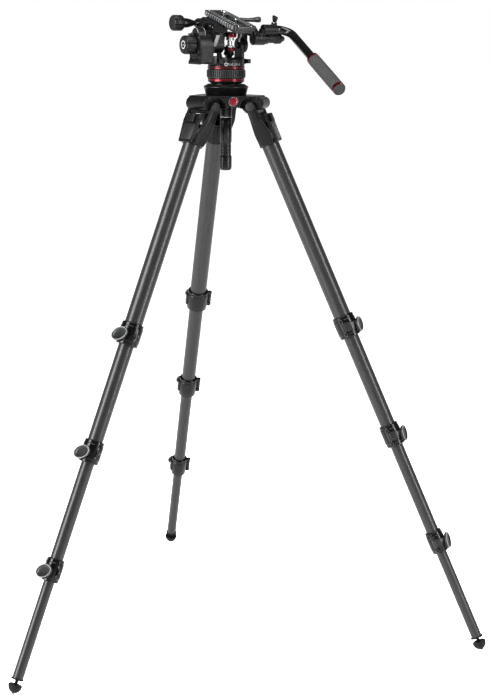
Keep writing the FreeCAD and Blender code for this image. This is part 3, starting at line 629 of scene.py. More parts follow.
def build_foot(side):
    local = LEGS[side]
    low, high = extent(f"leg_{side}_foot", local)
    tube_low, tube_high = extent(f"leg_{side}_tube_4", local)
    radius = (tube_high.y - tube_low.y) / 2
    top = high.z
    tip = low.z - 1.2
    metal = Shape().lathe([(0, top + 0.2), (radius + 1.5, top + 0.2), (radius + 2.2, top - 0.8),
                           (radius + 2.2, top - 1.8), (radius + 0.6, top - 2.6), (4.6, top - 3.2),
                           (3.4, top - 4.6), (3.0, top - 13), (0, top - 13)],
                          64)
    obj = to_object(metal, f"leg_{side}_foot_flange")
    piece(obj, local, "soft", f"leg_{side}_section_4")
    dome = []
    reach = 14.6
    face = top - 11.5
    dome.append((0, face - 2.2))
    dome.append((6, face - 1.6))
    dome.append((reach - 1.6, face - 0.2))
    for k in range(10):
        a = math.radians(4 + 9.2 * k)
        dome.append((reach * math.cos(a), face - 1.4 - 17.0 * math.sin(a)))
    dome += [(2.6, face - 18.6), (2.2, face - 19.8), (0.9, tip + 0.4), (0, tip + 0.1)]
    obj = to_object(Shape().lathe(dome, 64), f"leg_{side}_foot_rubber")
    piece(obj, local, "rubber", f"leg_{side}_section_4", [f"leg_{side}_foot"], 30)


def build_legs():
    for side in SIDES:
        build_yoke(side)
        build_selector(side)
        for number in (1, 2, 3, 4):
            build_tube(side, number)
        for number in (1, 2, 3):
            build_clamp(side, number)
            build_lever(side, number)
        build_foot(side)


# ================================================================ head helpers
def from_node(node, local):
    """Copy of a CAD node's mesh in a local frame, to be reshaped as a piece of its own."""
    data = frame["nodes"][node].data.copy()
    data.transform(local.inverted())
    obj = bpy.data.objects.new(node + "_skin", data)
    bpy.context.scene.collection.objects.link(obj)
    return obj


def cast_piece(node, local, finish, body, voxel=0.8, smooth=3, keep=0.35):
    """CAD node as a casting with soft corners."""
    return piece(cast_skin(from_node(node, local), voxel, smooth, keep), local, finish, body, [node],
                 60)


def aim(start, way):
    """Frame with its Z along a direction."""
    turn = Vector((0, 0, 1)).rotation_difference(Vector(way).normalized())
    return Matrix.Translation(Vector(start)) @ turn.to_matrix().to_4x4()


def joint_point(name, local):
    return local.inverted() @ Vector(JOINTS[name]["pos_m"])


def flutes(count, depth, lowest, sharpness=4):
    """Radius function that presses flutes into the outer part of a knob."""
    def radius(r, z, a):
        if r < lowest:
            return r
        return r - depth * max(0.0, math.cos(count * a)) ** sharpness
    return radius


def ribs(count, depth, lowest):
    """Radius function with fine square-topped ribs."""
    def radius(r, z, a):
        if r < lowest:
            return r
        return r - depth * (1.0 if math.sin(count * a) < 0 else 0.0)
    return radius


def rounded_outline(half_x, low_y, high_y, z, corner, steps=6):
    points = []
    for cx, cy, start in ((half_x - corner, high_y - corner, 0), (corner - half_x, high_y - corner, 90),
                          (corner - half_x, low_y + corner, 180), (half_x - corner, low_y + corner, 270)):
        for k in range(steps + 1):
            a = math.radians(start + 90 * k / steps)
            points.append((cx + corner * math.cos(a), cy + corner * math.sin(a), z))
    return points


def slot_cutter(x, y, reach, radius, low, high):
    """Long hole with round ends along Y."""
    outline = rounded_outline(radius, -reach - radius, reach + radius, 0, radius)
    return Shape().prism([(x + px, y + py, low) for px, py, _ in outline], (0, 0, high - low))


def long_axis(node):
    """Frame at the near end of a straight round node, with Z along it, and its length and radius."""
    points = [v.co / MM for v in frame["nodes"][node].data.vertices]
    middle = sum(points, Vector()) / len(points)
    way = Vector((0, -1, -0.3))
    for _ in range(40):
        way = sum(((p - middle) * (p - middle).dot(way) for p in points), Vector()).normalized()
    if way.z > 0:
        way = -way
    turn = aim(middle, way)
    back = turn.inverted()
    inside = [back @ p for p in points]
    low = Vector([min(p[i] for p in inside) for i in range(3)])
    high = Vector([max(p[i] for p in inside) for i in range(3)])
    start = turn @ Vector(((low.x + high.x) / 2, (low.y + high.y) / 2, low.z))
    return OBJECT @ aim(start, way), high.z - low.z, (high.x - low.x) / 2


# ================================================================ spider and bowl
BOWL_SEAT = 37.6
BOWL_WALL = 41.6
HEAD_BALL = 37.2
BALL_CUT = -50                     # elevation where the half ball and its seat stop, in degrees
BADGE_TURN = 252.75                # azimuth of the spider's face between two legs, in degrees
BADGE_FACE = 66.0                  # distance of that face from the centre axis


def sphere_arc(radius, centre, start, end, steps=16):
    """Profile points on a ball round a centre height, from one elevation angle to another."""
    angles = [math.radians(start + (end - start) * k / steps) for k in range(steps + 1)]
    return [(radius * math.cos(a), centre + radius * math.sin(a)) for a in angles]


def build_spider():
    high = extent("spider", OBJECT)[1]
    cast_piece("spider", OBJECT, "cast", "base", 0.9, 4, 0.3)
    turn = math.radians(BADGE_TURN)
    out = Vector((math.cos(turn), math.sin(turn), 0))
    centre = out * BADGE_FACE + Vector((0, 0, high.z - 11.2))
    place = aim(centre, out) @ Matrix.Diagonal((1.16, 1.0, 1.0, 1.0))
    dome = Shape().lathe([(0, 2.1), (3.5, 1.95), (6.4, 1.45), (8.2, 0.6), (8.6, -0.4), (0, -0.4)], 48, place)
    piece(to_object(dome, "spider_badge"), OBJECT, "badge", "base")
    frame_ring = Shape().lathe([(8.5, -0.6), (8.5, 0.7), (9.0, 0.95), (9.5, 0.6), (9.7, -0.6)], 48, place)
    piece(to_object(frame_ring, "spider_badge_ring"), OBJECT, "dark_steel", "base")
    for side in SIDES:
        local = LEGS[side]
        caps = Shape()
        for way in (-1, 1):
            caps.rod((13, way * 27.6, 9.2), (13, way * 28.7, 9.2), 6.2, segments=40, edge=0.5)
        piece(to_object(caps, f"spider_lug_caps_{side}"), local, "cast_fine", "base")


def build_bowl():
    high = extent("bowl", OBJECT)[1]
    rim = high.x
    top = high.z
    floor = extent("spider", OBJECT)[1].z
    ball = joint_point("level_pitch", OBJECT).z
    outside = [(min(34.0, r), z) for r, z in sphere_arc(BOWL_WALL, ball, BALL_CUT, -30)]
    outside += [(34.0, floor + 0.1), (41.2, floor + 0.1), (42.0, floor + 0.9), (42.6, floor + 2.4),
                (rim - 0.9, top - 7.8), (rim - 0.1, top - 6.6), (rim, top - 5.9), (rim - 0.2, top - 5.2),
                (rim - 1.2, top - 4.4), (39.6, top - 0.4), (38.9, top), (38.2, top - 0.3)]
    outside += sphere_arc(BOWL_SEAT, ball, -2, BALL_CUT)
    piece(to_object(Shape().lathe(outside, 160), "bowl_shell"), OBJECT, "bowl", "base",
          ["bowl"], 32)
    cup = frame["nodes"]["bowl_clamp_cup"]
    cup.material_slots[0].material = MAT["dark_steel"]


def build_bowl_handle():
    low, high = extent("bowl_clamp_handle", OBJECT)
    bottom = low.z
    top = high.z
    neck = top - 21.5
    body = [(0, top - 0.2), (11.8, top - 0.2), (12.9, top - 1.2), (12.9, neck + 1.4), (12.2, neck + 0.2),
            (9.5, neck), (9.5, neck - 2.2), (12.0, neck - 2.4), (12.5, neck - 3.2), (12.5, bottom + 60.5),
            (11.6, bottom + 59), (11.3, bottom + 57), (11.3, bottom + 31.5), (12.3, bottom + 30),
            (12.8, bottom + 28.6), (12.8, bottom + 7), (12.2, bottom + 3.4), (10.6, bottom + 1),
            (7.5, bottom), (0, bottom)]
    piece(to_object(Shape().lathe(body, 64), "bowl_handle_grip"), OBJECT, "bowl", "bowl_handle",
          ["bowl_clamp_handle"], 32)
    washer = [(9.2, neck - 2.0), (12.4, neck - 2.0), (12.7, neck - 1.6), (12.7, neck - 0.6),
              (12.4, neck - 0.2), (9.2, neck - 0.2)]
    piece(to_object(Shape().lathe(washer, 64), "bowl_handle_washer"), OBJECT, "steel", "bowl_handle")
    lines = Shape()
    for k in range(3):
        z = bottom + 50 - 6 * k
        lines.lathe([(11.0, z - 0.7), (11.75, z - 0.4), (11.75, z + 0.4), (11.0, z + 0.7)], 64)
    piece(to_object(lines, "bowl_handle_rings"), OBJECT, "soft", "bowl_handle")


# ================================================================ pan unit
def red_ring(name, radius, low, high, body):
    """Anodised ring with rounded edges and a shallow middle groove."""
    height = high - low
    profile = [(radius - 4, low), (radius - 0.9, low), (radius - 0.1, low + 0.6),
               (radius, low + 0.3 * height), (radius - 0.5, low + 0.5 * height), (radius, low + 0.7 * height),
               (radius - 0.1, high - 0.6), (radius - 0.9, high), (radius - 4, high)]
    piece(to_object(Shape().lathe(profile, 160), name), OBJECT, "red", body, (), 32)


def build_head_base():
    ball = joint_point("level_pitch", OBJECT).z
    profile = [(0, ball + HEAD_BALL * math.sin(math.radians(BALL_CUT)))]
    profile += sphere_arc(HEAD_BALL, ball, BALL_CUT, -4)
    profile += [(31.5, ball - 2.4), (31.0, ball + 0.6), (33, ball + 2.2), (37.4, ball + 4.4),
                (37.9, ball + 5.0), (37.9, ball + 12.0), (24, ball + 12.0), (24, ball + 24), (0, ball + 24)]
    piece(to_object(Shape().lathe(profile, 160), "head_ball"), OBJECT, "bowl", "head",
          ["head_base"], 32)
    red_ring("head_red_ring", 38.8, ball + 5.6, ball + 11.6, "head")


def build_drag_ring():
    low, high = extent("pan_drag_ring", OBJECT)
    radius = high.x
    profile = [(25, low.z), (radius - 2.2, low.z), (radius - 0.9, low.z + 0.5), (radius - 0.9, low.z + 1.9),
               (radius, low.z + 2.5), (radius, high.z - 2.5), (radius - 0.9, high.z - 1.9),
               (radius - 0.9, high.z - 0.5), (radius - 2.2, high.z), (25, high.z)]
    shape = Shape().lathe(profile, 576, None, ribs(52, 1.9, radius - 0.3))
    piece(to_object(shape, "drag_ring_rubber"), OBJECT, "ribbed", "drag_ring",
          ["pan_drag_ring"], 25)


def build_pan():
    cast_piece("pan_body", OBJECT, "cast", "pan", 0.75, 3, 0.3)
    floor = extent("pan_body", OBJECT)[0].z
    red_ring("pan_red_ring", 39.0, floor + 0.3, floor + 6.2, "pan")
    tilt = joint_point("tilt", OBJECT).z
    marks = Shape()
    for k in range(10):
        a = math.radians(-113 + 4.2 * k)
        tall = 2.3 if k % 3 else 3.6
        out = Vector((math.cos(a), math.sin(a), 0))
        marks.lathe([(0, 0), (0.55, 0), (0.55, 0.25), (0, 0.25)], 4,
                    aim(out * 38.0 + Vector((0, 0, floor + 9.6 + tall / 2)), out)
                    @ Matrix.Rotation(math.radians(45), 4, "Z"))
        side = Vector((-out.y, out.x, 0)) * 0.4
        base = out * 37.8 + Vector((0, 0, floor + 9.6))
        marks.prism([base - side, base + side, base + side + Vector((0, 0, tall)),
                     base - side + Vector((0, 0, tall))],
                    out * 0.45)
    band = []
    for k in range(13):
        a = math.radians(-115 + 3.6 * k)
        band.append((38.05 * math.cos(a), 38.05 * math.sin(a), floor + 9.0))
    marks.sweep(band, 0.32, 8)
    piece(to_object(marks, "pan_scale_marks"), OBJECT, "white", "pan")
    a = math.radians(-121)
    out = Vector((math.cos(a), math.sin(a), 0))
    place = aim(out * 37.6 + Vector((0, 0, floor + 10.4)), out)
    ring = Shape().lathe([(2.1, 0), (2.1, 1.0), (2.4, 1.3), (3.4, 1.3), (3.75, 1.0), (3.75, 0)], 40, place)
    piece(to_object(ring, "pan_index_ring"), OBJECT, "white", "pan")
    hub = Shape().lathe([(0, 0), (2.0, 0), (2.0, 0.7), (0, 0.7)], 32, place)
    hub.rod(out * 36.4 + Vector((0, 0, floor + 15.0)), out * 33.5 + Vector((0, 0, floor + 29)), 3.6, 1.2, 32,
            0.4)
    piece(to_object(hub, "pan_index_hub"), OBJECT, "ribbed", "pan")
    cover = Shape()
    x = extent("counterbalance_knob", OBJECT)[1].x
    cover.lathe([(8, 0), (21.5, 0), (22.3, 0.6), (22.3, 1.6), (21.5, 2.2), (8, 2.2)], 80,
                aim((x + 0.3, 0, tilt), (1, 0, 0)))
    cover.block((x - 10, -8, tilt + 19.6), (x + 3, 6, tilt + 23))
    piece(bevelled(to_object(cover, "pan_housing_cover"), 0.4), OBJECT, "cast_fine", "pan")
    # Painted highlights: thin lighter beads along the housing's round edge and its seam, standing in for light on
    # those edges.
    rim = Shape()
    arc = []
    for k in range(19):
        b = math.radians(-35 + 11.5 * k)
        arc.append((-78.1, -6 + 12.3 * math.cos(b), tilt + 22 + 12.3 * math.sin(b)))
    rim.sweep(arc, 0.7, 12)
    seam = [(-62.0, 13.6 * math.cos(math.radians(b)) - 6, tilt + 22 + 13.6 * math.sin(math.radians(b)))
            for b in range(-30, 211, 12)]
    rim.sweep(seam, 0.55, 12)
    piece(to_object(rim, "pan_painted_highlight_edges"), OBJECT, "painted_edge_highlight", "pan")
    panel = Shape()
    foot = tilt - 33.0
    panel.block((-45.2, -23.4, floor + 12), (-30, -21.6, floor + 25.4))
    for k in range(4):
        rib_x = -73 + 7.6 * k
        panel.prism([(rib_x, -24.4, foot), (rib_x + 2.4, -24.4, foot), (rib_x + 2.4, -26.6, tilt),
                     (rib_x, -26.6, tilt)], (0, 1.4, 0))
    piece(bevelled(to_object(panel, "pan_housing_ribs"), 0.5), OBJECT, "cast_fine", "pan")
    bolts = Shape()
    for b in (35, 145, 215, 325):
        y = 24.6 * math.cos(math.radians(b))
        z = tilt + 24.6 * math.sin(math.radians(b))
        bolts.rod((-78.0, y, z), (-79.3, y, z), 1.7, segments=20, edge=0.3)
    piece(to_object(bolts, "pan_housing_bolts"), OBJECT, "dark_steel", "pan")
    cast_piece("pan_lock_lever", OBJECT, "lever", "pan_lock", 0.45, 2, 0.5)


def build_counterbalance_knob():
    low, high = extent("counterbalance_knob", OBJECT)
    centre = joint_point("counterbalance_turn", OBJECT)
    radius = high.y
    depth = high.x - low.x
    place = aim((high.x, centre.y, centre.z), (-1, 0, 0))
    profile = [(0, 0), (radius - 2, 0), (radius - 1, 0.8), (radius, 2), (radius, depth - 3.2),
               (radius - 0.7, depth - 1.4), (radius - 2.2, depth - 0.2), (radius - 3.4, depth),
               (radius - 3.8, depth - 0.9), (0, depth - 0.9)]
    shape = Shape().lathe(profile, 288, place, flutes(9, 1.7, radius - 1.5, 8))
    piece(to_object(shape, "counterbalance_grip"), OBJECT, "soft", "counterbalance",
          ["counterbalance_knob"], 30)
    face = Shape().lathe([(0, depth - 0.95), (radius - 4.2, depth - 0.95), (radius - 4.6, depth - 0.4),
                          (radius - 6, depth - 0.1), (0, depth + 0.1)], 96, place)
    piece(to_object(face, "counterbalance_face"), OBJECT, "gloss", "counterbalance")
    mark = Shape().lathe([(6.4, depth - 0.3), (6.4, depth + 0.3), (8.5, depth + 0.3), (8.5, depth - 0.3)], 72,
                         place)
    mark.lathe([(0, depth - 0.3), (1.7, depth - 0.3), (1.7, depth + 0.35), (0, depth + 0.35)], 40, place)
    piece(to_object(mark, "counterbalance_mark"), OBJECT, "white", "counterbalance")


def build_piston():
    """Counterbalance spring: boot, red collars and bright rod on the line between its pivots."""
    lower = joint_point("piston_lower_rock", OBJECT)
    upper = joint_point("piston_upper_rock", OBJECT)
    reach = (upper - lower).length
    place = aim(lower, upper - lower)
    boot = [(5.4, 17.4), (5.4, 4.0), (0, 4.0), (0, -6.5), (4.5, -6.0), (7.0, -2.5), (8.0, 0.2), (11.0, 2.4),
            (11.3, 3.2), (10.5, 4.6), (10.7, 5.4), (10.0, 6.8), (10.2, 7.6), (9.5, 9.2), (9.6, 10.2),
            (9.0, 11.0), (9.0, 17.4)]
    piece(to_object(Shape().lathe(boot[::-1], 72, place), "piston_boot"), OBJECT, "soft", "piston_lower",
          ["piston_cylinder"], 32)
    collar = [(9.1, 10.4), (10.9, 10.5), (11.3, 11.2), (11.3, 16.6), (10.9, 17.4), (9.1, 17.6)]
    piece(to_object(Shape().lathe(collar, 72, place), "piston_lower_collar"), OBJECT, "red", "piston_lower")
    sleeve = [(5.5, 16.8), (8.4, 16.8), (8.7, 17.3), (8.7, 20.4), (8.2, 21), (5.5, 21)]
    piece(to_object(Shape().lathe(sleeve, 72, place), "piston_lower_sleeve"), OBJECT, "steel", "piston_lower")
    cap = [(0, reach + 4.8), (11.6, reach + 4.8), (12.8, reach + 4.2), (13.4, reach + 3.2),
           (13.4, reach + 0.6), (12.9, reach), (13.4, reach - 0.6), (13.4, reach - 3.4), (12.7, reach - 4.6),
           (0, reach - 4.8)]
    piece(to_object(Shape().lathe(cap, 72, place), "piston_cap"), OBJECT, "red", "piston_upper",
          ["piston_rod"], 32)
    rod = [(0, reach - 4.6), (9.2, reach - 4.6), (9.2, reach - 6.4), (7.6, reach - 6.8), (7.6, reach - 8.2),
           (9.0, reach - 8.6), (9.0, reach - 11.2), (5.0, reach - 11.6), (5.0, reach - 31), (0, reach - 31)]
    piece(to_object(Shape().lathe(rod, 72, place), "piston_rod_bright"), OBJECT, "steel", "piston_upper")


# ================================================================ platform and plate
def build_platform():
    cast_piece("tilt_platform", PLATFORM, "cast", "tilt", 0.75, 3, 0.3)
    # Painted highlight: a thin lighter bead round the hub and a strip on the bracket, standing in for light on
    # their edges.
    fin = Shape()
    ring = []
    for k in range(15):
        a = math.radians(198 + 9.5 * k)
        ring.append((-40.0, 19.6 * math.cos(a), 19.6 * math.sin(a)))
    fin.sweep(ring, 1.1, 12)
    fin.prism([(-44.4, -28.7, 28.2), (-44.4, -19.4, 1.5), (-36.2, -19.4, 1.5), (-36.2, -28.7, 28.2)],
              (0, -1.1, 0))
    piece(bevelled(to_object(fin, "platform_painted_highlight_fin"), 0.3), PLATFORM, "painted_edge_highlight", "tilt")
    strap = Shape()
    path = ((34, -14.2), (20, -14.2), (15.5, -11.0), (9, -11.0))
    outer = [(21.6, y, z) for z, y in path]
    inner = [(21.6, y + 1.4, z) for z, y in reversed(path)]
    strap.prism(outer + inner, (3.6, 0, 0))
    piece(to_object(strap, "platform_strap"), PLATFORM, "dark_steel", "tilt")
    bolts = Shape()
    for y in (-7, 3):
        bolts.rod((-43.6, y, 38), (-45.2, y, 38), 2.6, segments=24, edge=0.4)
    for y in (-8, 30):
        bolts.rod((43.6, y, 38), (45.1, y, 38), 2.6, segments=24, edge=0.4)
    bolts.rod((35, -45.2, 38), (35, -43.6, 38), 2.6, segments=24, edge=0.4)
    for a in (20, 140, 260):
        y = 12.5 * math.cos(math.radians(a))
        z = 12.5 * math.sin(math.radians(a))
        bolts.rod((-14.4, y, z), (-12.9, y, z), 1.9, segments=20, edge=0.3)
    piece(to_object(bolts, "platform_bolts"), PLATFORM, "steel", "tilt")


def build_hub_cover():
    """Lighter cover on the back of the hub's web, and the ring on the hub's face."""
    cover = Shape().block((-32.5, -15.6, 7), (-16, -13.6, 28.6))
    cover.block((-30, -16.6, 12), (-18.5, -15, 25))
    piece(bevelled(to_object(cover, "platform_hub_cover"), 0.6), PLATFORM, "cast_fine", "tilt")
    ring = Shape().lathe([(7, 0), (15.6, 0), (16.4, 0.7), (16.4, 1.6), (15.6, 2.2), (7, 2.2)], 80,
                         aim((-15.5, 0, 0), (1, 0, 0)))
    piece(to_object(ring, "platform_hub_ring"), PLATFORM, "cast_fine", "tilt")


def build_plate():
    low, high = extent("slide_plate", PLATFORM)
    top = high.z
    bottom = top - 8.8
    half = high.x
    shape = Shape().prism(rounded_outline(half - 3.8, low.y, high.y, bottom, 5.0), (0, 0, top - bottom))
    plate = to_object(shape, "plate_top")
    screws = {}
    for mount in frame["record"]["mounts"]:
        if mount["kind"] == "pin":
            screws[mount["name"]] = (PLATFORM.inverted() @ Vector(mount["pos_m"]), mount["dims"]["r_mm"])
    cutters = []
    for place, radius in screws.values():
        cutters.append(slot_cutter(0, place.y, 14, radius + 0.3, bottom - 1, top + 1))
        cutters.append(slot_cutter(0, place.y, 14, radius + 3.0, top - 1.6, top + 1))
    cut(plate, *cutters)
    bevelled(plate, 0.7, 2, 30)
    piece(plate, PLATFORM, "plate", "plate", ["slide_plate"], 35)
    rail = Shape()
    rail.prism([(-18.5, low.y + 6, bottom + 1), (18.5, low.y + 6, bottom + 1), (20.8, low.y + 6, low.z),
                (-20.8, low.y + 6, low.z)], (0, high.y - low.y - 12, 0))
    rail_obj = cut(to_object(rail, "plate_rail"),
                   *[slot_cutter(0, place.y, 14, 9.6, low.z - 1, bottom + 0.4)
                     for place, _ in screws.values()])
    piece(bevelled(rail_obj, 0.4), PLATFORM, "plate", "plate")
    # Painted highlight: the rack teeth take a lighter copy of the plate's colour, standing in for light on them.
    teeth = Shape()
    pitch = 9.0
    count = int((high.y - low.y - 16) / pitch)
    for way in (-1, 1):
        for k in range(count):
            y = low.y + 9 + pitch * k
            edge = way * (half - 4.2)
            teeth.prism([(edge, y, bottom + 0.3), (edge, y + 4.4, bottom + 0.3), (edge, y + 4.4, top - 0.5),
                         (edge, y, top - 0.5)], (way * 4.2, 0, 0))
    piece(bevelled(to_object(teeth, "plate_rack_teeth"), 0.35, 1), PLATFORM, "plate_painted_highlight", "plate")
    pads = Shape()
    for x in (-22.4, -15.6, 15.6, 22.4):
        pads.prism([(x + px, py, top - 0.3)
                    for px, py, _ in rounded_outline(1.7, low.y + 9, high.y - 9, 0, 1.6)],
                   (0, 0, 0.75))
    piece(bevelled(to_object(pads, "plate_rubber_strips"), 0.25, 1), PLATFORM, "rubber", "plate")
    # Painted highlights: thin lighter ridges along the plate's top, standing in for light on its lengthwise
    # ridges.
    edges = Shape()
    for x in (-19.0, 19.0, -12.4, 12.4):
        edges.block((x - 0.9, low.y + 10, top - 0.2), (x + 0.9, high.y - 10, top + 0.4))
    piece(bevelled(to_object(edges, "plate_painted_highlight_ridges"), 0.15, 1), PLATFORM, "painted_edge_highlight", "plate")
    bolts = Shape()
    for x in (-15, 15):
        for y in (low.y + 5.4, high.y - 5.4):
            bolts.rod((x, y, top - 0.6), (x, y, top + 0.5), 2.5, segments=24, edge=0.3)
    piece(to_object(bolts, "plate_bolts"), PLATFORM, "steel", "plate")
    build_camera_screws(screws, low.z + 2)


def build_camera_screws(screws, seat):
    """Threaded studs with a flat head below the plate."""
    names = sorted(screws)
    for name in names:
        place, radius = screws[name]
        end = place.z + (4.5 if radius > 4 else 2.75)
        profile = [(0, seat), (8.8, seat), (8.8, seat + 5.4), (radius - 0.7, seat + 6.0)]
        z = seat + 7.5
        while z < end - 1.4:
            profile += [(radius - 0.75, z), (radius, z + 0.35), (radius, z + 0.6), (radius - 0.75, z + 0.95)]
            z += 1.25
        profile += [(radius - 0.8, end - 0.4), (radius - 1.3, end), (0, end)]
        obj = to_object(Shape().lathe(profile, 40, Matrix.Translation((0, place.y, 0))), name + "_stud")
        piece(obj, PLATFORM, "steel", "plate", ["camera_screws"] if name == names[0] else (), 28)


def build_plate_controls():
    low, high = extent("plate_lock_knob", PLATFORM)
    axis = joint_point("plate_lock_turn", PLATFORM)
    place = aim((low.x, axis.y, axis.z), (1, 0, 0))
    reach = high.x - low.x
    grip = [(0, 5.6), (11.5, 5.6), (13.4, 5), (15.0, 6.0), (16.0, 8.0), (16.0, 24.5), (15.0, 26.6),
            (12.0, 28), (0, 28)]
    shape = Shape().lathe(grip, 256, place, flutes(8, 2.2, 14.0, 6))
    piece(to_object(shape, "plate_lock_grip"), PLATFORM, "soft", "plate_lock",
          ["plate_lock_knob"], 30)
    neck = [(0, 26.5), (10.2, 26.5), (10.2, 29), (9.8, 35)]
    for k in range(7):
        share = k / 6
        neck.append((9.8 - 4.9 * share ** 1.5, 36 + 21 * share))
    neck += [(4.9, 58.5), (6.2, 59), (6.2, 64.4), (4.0, 64.8), (4.0, reach), (0, reach)]
    piece(to_object(Shape().lathe(neck, 64, place), "plate_lock_neck"), PLATFORM, "gloss", "plate_lock")
    pivot = joint_point("plate_release_turn", PLATFORM)
    arm = Shape().sweep([(34, 12, 50), (38, 7, 51), (44, -1, 53), (51, -11, 56), (56, -18.5, 58.5),
                         (59, -23, 60)],
                        [4.6, 4.2, 4.0, 4.6, 6.0, 5.6], 24)
    arm.rod((pivot.x, pivot.y, 39), (pivot.x, pivot.y, 52.6), 3.0, segments=32)
    arm.rod((pivot.x, pivot.y, 47.1), (pivot.x, pivot.y, 53), 6.4, segments=40, edge=0.8)
    piece(cast_skin(to_object(arm, "plate_release_arm"), 0.5, 4, 0.4), PLATFORM, "lever", "plate_release",
          ["plate_release_lever"], 60)
    catch = Shape()
    catch.rod((pivot.x, pivot.y, pivot.z + 5), (pivot.x, pivot.y, pivot.z + 7.2), 4.0, segments=32, edge=0.6)
    catch.prism([(pivot.x + 8, pivot.y - 6, pivot.z + 5), (pivot.x + 14, pivot.y - 13, pivot.z + 5),
                 (pivot.x + 9.5, pivot.y - 17, pivot.z + 5), (pivot.x + 3.5, pivot.y - 9, pivot.z + 5)],
                 (0, 0, 2.6))
    piece(bevelled(to_object(catch, "plate_release_catch"), 0.4), PLATFORM, "gloss", "plate_release")


# ================================================================ pan bar
def build_bar_holder():
    cast_piece("pan_bar_clamp", PLATFORM, "cast", "bar_holder", 0.6, 3, 0.35)
    axis = joint_point("bar_angle", PLATFORM)
    low, high = extent("rosette_knob", PLATFORM)
    place = aim((low.x, axis.y, axis.z), (1, 0, 0))
    reach = high.x - low.x
    barrel = [(4.2, 0.4), (8.4, 0.4), (9.4, 1.2), (9.4, 7.6), (8.6, 8.4), (7.6, 8.8), (8.8, 9.6), (8.8, 26.0),
              (10.3, 27.2), (10.3, 39.0), (9.4, 40.2), (7.0, 40.4), (7.2, 41.2), (6.2, 45), (4.6, reach),
              (0, reach), (0, 16), (4.2, 16)]
    shape = Shape().lathe(barrel, 240, place, ribs(30, 0.7, 8.5))
    piece(to_object(shape, "rosette_barrel"), PLATFORM, "ribbed", "rosette",
          ["rosette_knob"], 28)
    collar = Shape().lathe([(8.6, 0.2), (10.6, 0.2), (11.2, 0.9), (11.2, 6.9), (10.6, 7.6), (8.6, 7.6)], 64,
                           place)
    piece(to_object(collar, "rosette_collar"), PLATFORM, "gloss", "rosette")
    teeth = Shape().lathe([(8, 0), (12.7, 0), (12.7, 1.3), (8, 1.3)], 192,
                          aim((43.2, axis.y, axis.z), (1, 0, 0)), ribs(32, 1.2, 12.0))
    piece(to_object(teeth, "rosette_teeth"), PLATFORM, "dark_steel", "tilt")
    low, high = extent("pan_bar_screw", PLATFORM)
    centre = joint_point("bar_screw_turn", PLATFORM)
    wing = Shape()
    wing.loft([rounded_ring(u, t, (centre.x, centre.y, z), (1, 0, 0), (0, 1, 0), 4)
               for z, u, t in ((high.z - 13, 2.2, 3.4), (high.z - 11.5, 2.8, 4.4), (high.z - 7, 3.0, 6.4),
                               (high.z - 3, 3.1, 8.0), (high.z - 1, 2.9, 7.9), (high.z, 2.0, 7.0))])
    piece(bevelled(to_object(wing, "bar_screw_wing"), 0.3, 1), PLATFORM, "soft", "bar_screw",
          ["pan_bar_screw"], 40)
    stem = Shape().rod((centre.x, centre.y, low.z), (centre.x, centre.y, high.z - 12.5), 2.4, segments=24,
                       edge=0.3)
    stem.rod((centre.x, centre.y, high.z - 15.2), (centre.x, centre.y, high.z - 13), 4.6, segments=32,
             edge=0.4)
    piece(to_object(stem, "bar_screw_stem"), PLATFORM, "steel", "bar_screw")


def build_bar():
    tube = from_node("pan_bar", OBJECT)
    piece(tube, OBJECT, "bar", "bar", ["pan_bar"], 40)
    local, length, radius = long_axis("grip")
    body = [(9.0, 7.0), (radius - 1.1, 7.0), (radius - 0.3, 7.8)]
    steps = 24
    body += [(radius - 0.25 + 0.25 * math.sin(math.pi * k / steps), 8.6 + (length - 20.0) * k / steps)
             for k in range(steps + 1)]
    body += [(radius - 0.3, length - 10.2), (radius - 1.1, length - 9.6), (9.0, length - 9.6)]
    piece(to_object(Shape().lathe(body, 96), "grip_foam"), local, "foam", "bar", ["grip"], 30)
    rings = Shape()
    for low, high in ((-1.6, 7.0), (length - 9.6, length - 2.4)):
        rings.lathe([(8.8, low), (radius - 1.0, low), (radius - 0.3, low + 0.6), (radius - 0.3, high - 0.6),
                     (radius - 1.0, high), (8.8, high)], 96)
    piece(to_object(rings, "grip_red_rings"), local, "red", "bar")
    ends = Shape()
    ends.lathe([(8.8, -5.0), (9.6, -5.0), (11.2, -2.4), (radius - 1.6, 0.4), (8.8, 0.4)], 96)
    ends.lathe([(0, length - 2.6), (radius - 1.4, length - 2.6), (radius - 1.2, length - 1.4),
                (radius - 2.2, length - 0.3), (radius - 4.2, length), (radius - 4.8, length - 0.6),
                (0, length - 0.6)], 96)
    piece(to_object(ends, "grip_ends"), local, "ribbed", "bar")


def build_head():
    build_spider()
    build_bowl()
    build_bowl_handle()
    build_head_base()
    build_drag_ring()
    build_pan()
    build_counterbalance_knob()
    build_piston()
    build_platform()
    build_hub_cover()
    build_plate()
    build_plate_controls()
    build_bar_holder()
    build_bar()


# ================================================================ stage
CAMERA_AWAY = 3.3536       # from the centre axis
CAMERA_HEIGHT = 1.3091
CAMERA_AZIMUTH = -121.0
CAMERA_PITCH = -12.795
CAMERA_YAW = -0.632
CAMERA_ROLL = 0.4536
CAMERA_LENS = 80.78


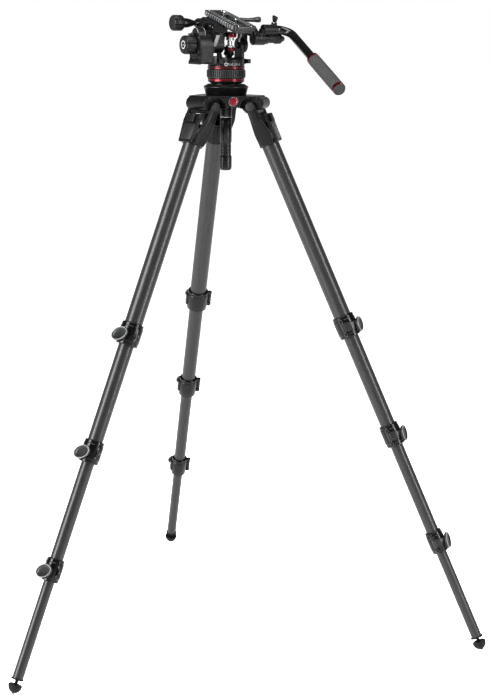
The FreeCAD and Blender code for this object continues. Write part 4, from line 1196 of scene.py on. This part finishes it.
def build_camera():
    data = bpy.data.cameras.new("camera")
    cam = bpy.data.objects.new("camera", data)
    bpy.context.scene.collection.objects.link(cam)
    turn = math.radians(CAMERA_AZIMUTH)
    cam.location = (CAMERA_AWAY * math.cos(turn), CAMERA_AWAY * math.sin(turn), CAMERA_HEIGHT)
    heading = turn + math.pi + math.radians(CAMERA_YAW)
    pitch = math.radians(CAMERA_PITCH)
    ahead = Vector((math.cos(heading) * math.cos(pitch), math.sin(heading) * math.cos(pitch),
                    math.sin(pitch)))
    right = ahead.cross(Vector((0, 0, 1))).normalized()
    up = right.cross(ahead)
    roll = math.radians(CAMERA_ROLL)
    right_turned = right * math.cos(roll) + up * math.sin(roll)
    up_turned = up * math.cos(roll) - right * math.sin(roll)
    turn_matrix = Matrix((right_turned, up_turned, -ahead)).transposed()
    cam.matrix_world = Matrix.Translation(cam.location) @ turn_matrix.to_4x4()
    data.lens = CAMERA_LENS
    data.sensor_width = 36.0
    data.shift_x = 0.0060
    data.shift_y = 0.0506
    data.clip_end = 200.0
    data.dof.use_dof = False
    bpy.context.scene.camera = cam


def area_light(name, place, target, size, power):
    data = bpy.data.lights.new(name, "AREA")
    data.shape = "RECTANGLE"
    data.size = size[0]
    data.size_y = size[1]
    data.energy = power
    lamp = bpy.data.objects.new(name, data)
    bpy.context.scene.collection.objects.link(lamp)
    lamp.location = place
    look = Vector(target) - Vector(place)
    lamp.rotation_euler = look.to_track_quat("-Z", "Y").to_euler()


def build_stage():
    mat, tree, shader = material("floor_white")
    tree.links.new(ramp(tree, noise(tree, 3.0), [(0.3, 0.88), (0.7, 0.9)]), shader.inputs["Base Color"])
    shader.inputs["Roughness"].default_value = 0.9
    shader.inputs["Specular IOR Level"].default_value = 0.1
    shader.inputs["Emission Color"].default_value = (1, 1, 1, 1)
    shader.inputs["Emission Strength"].default_value = 0.88
    floor = Shape().lathe([(0, -0.4), (60000, -0.4), (60000, -60), (0, -60)], 96)
    obj = to_object(floor, "floor")
    obj.data.transform(OBJECT)
    obj.data.materials.append(mat)
    world = bpy.data.worlds.new("studio")
    bpy.context.scene.world = world
    world.use_nodes = True
    tree = world.node_tree
    coord = tree.nodes.new("ShaderNodeTexCoord")
    split = tree.nodes.new("ShaderNodeSeparateXYZ")
    tree.links.new(coord.outputs["Generated"], split.inputs["Vector"])
    sky = ramp(tree, split.outputs["Z"], [(0.0, 1.0), (0.2, 1.0), (0.3, 0.1), (1.0, 0.18)])
    tree.links.new(sky, tree.nodes["Background"].inputs["Color"])
    tree.nodes["Background"].inputs["Strength"].default_value = 1.0
    side = math.radians(CAMERA_AZIMUTH)
    for name, swing, away, height, size, power in (("key", -57, 4.2, 2.3, (2.1, 4.4), 565.0),
                                                   ("rim", 56, 2.3, 1.5, (0.45, 2.6), 85.0),
                                                   ("top", 0, 0.4, 3.0, (1.6, 1.2), 80.0)):
        a = side + math.radians(swing)
        area_light(name, (away * math.cos(a), away * math.sin(a), height), (0, 0, 0.8), size, power)
    bpy.context.scene.view_settings.view_transform = "Standard"
    bpy.context.scene.view_settings.gamma = 0.84


build_camera()
build_stage()
build_legs()
build_head()
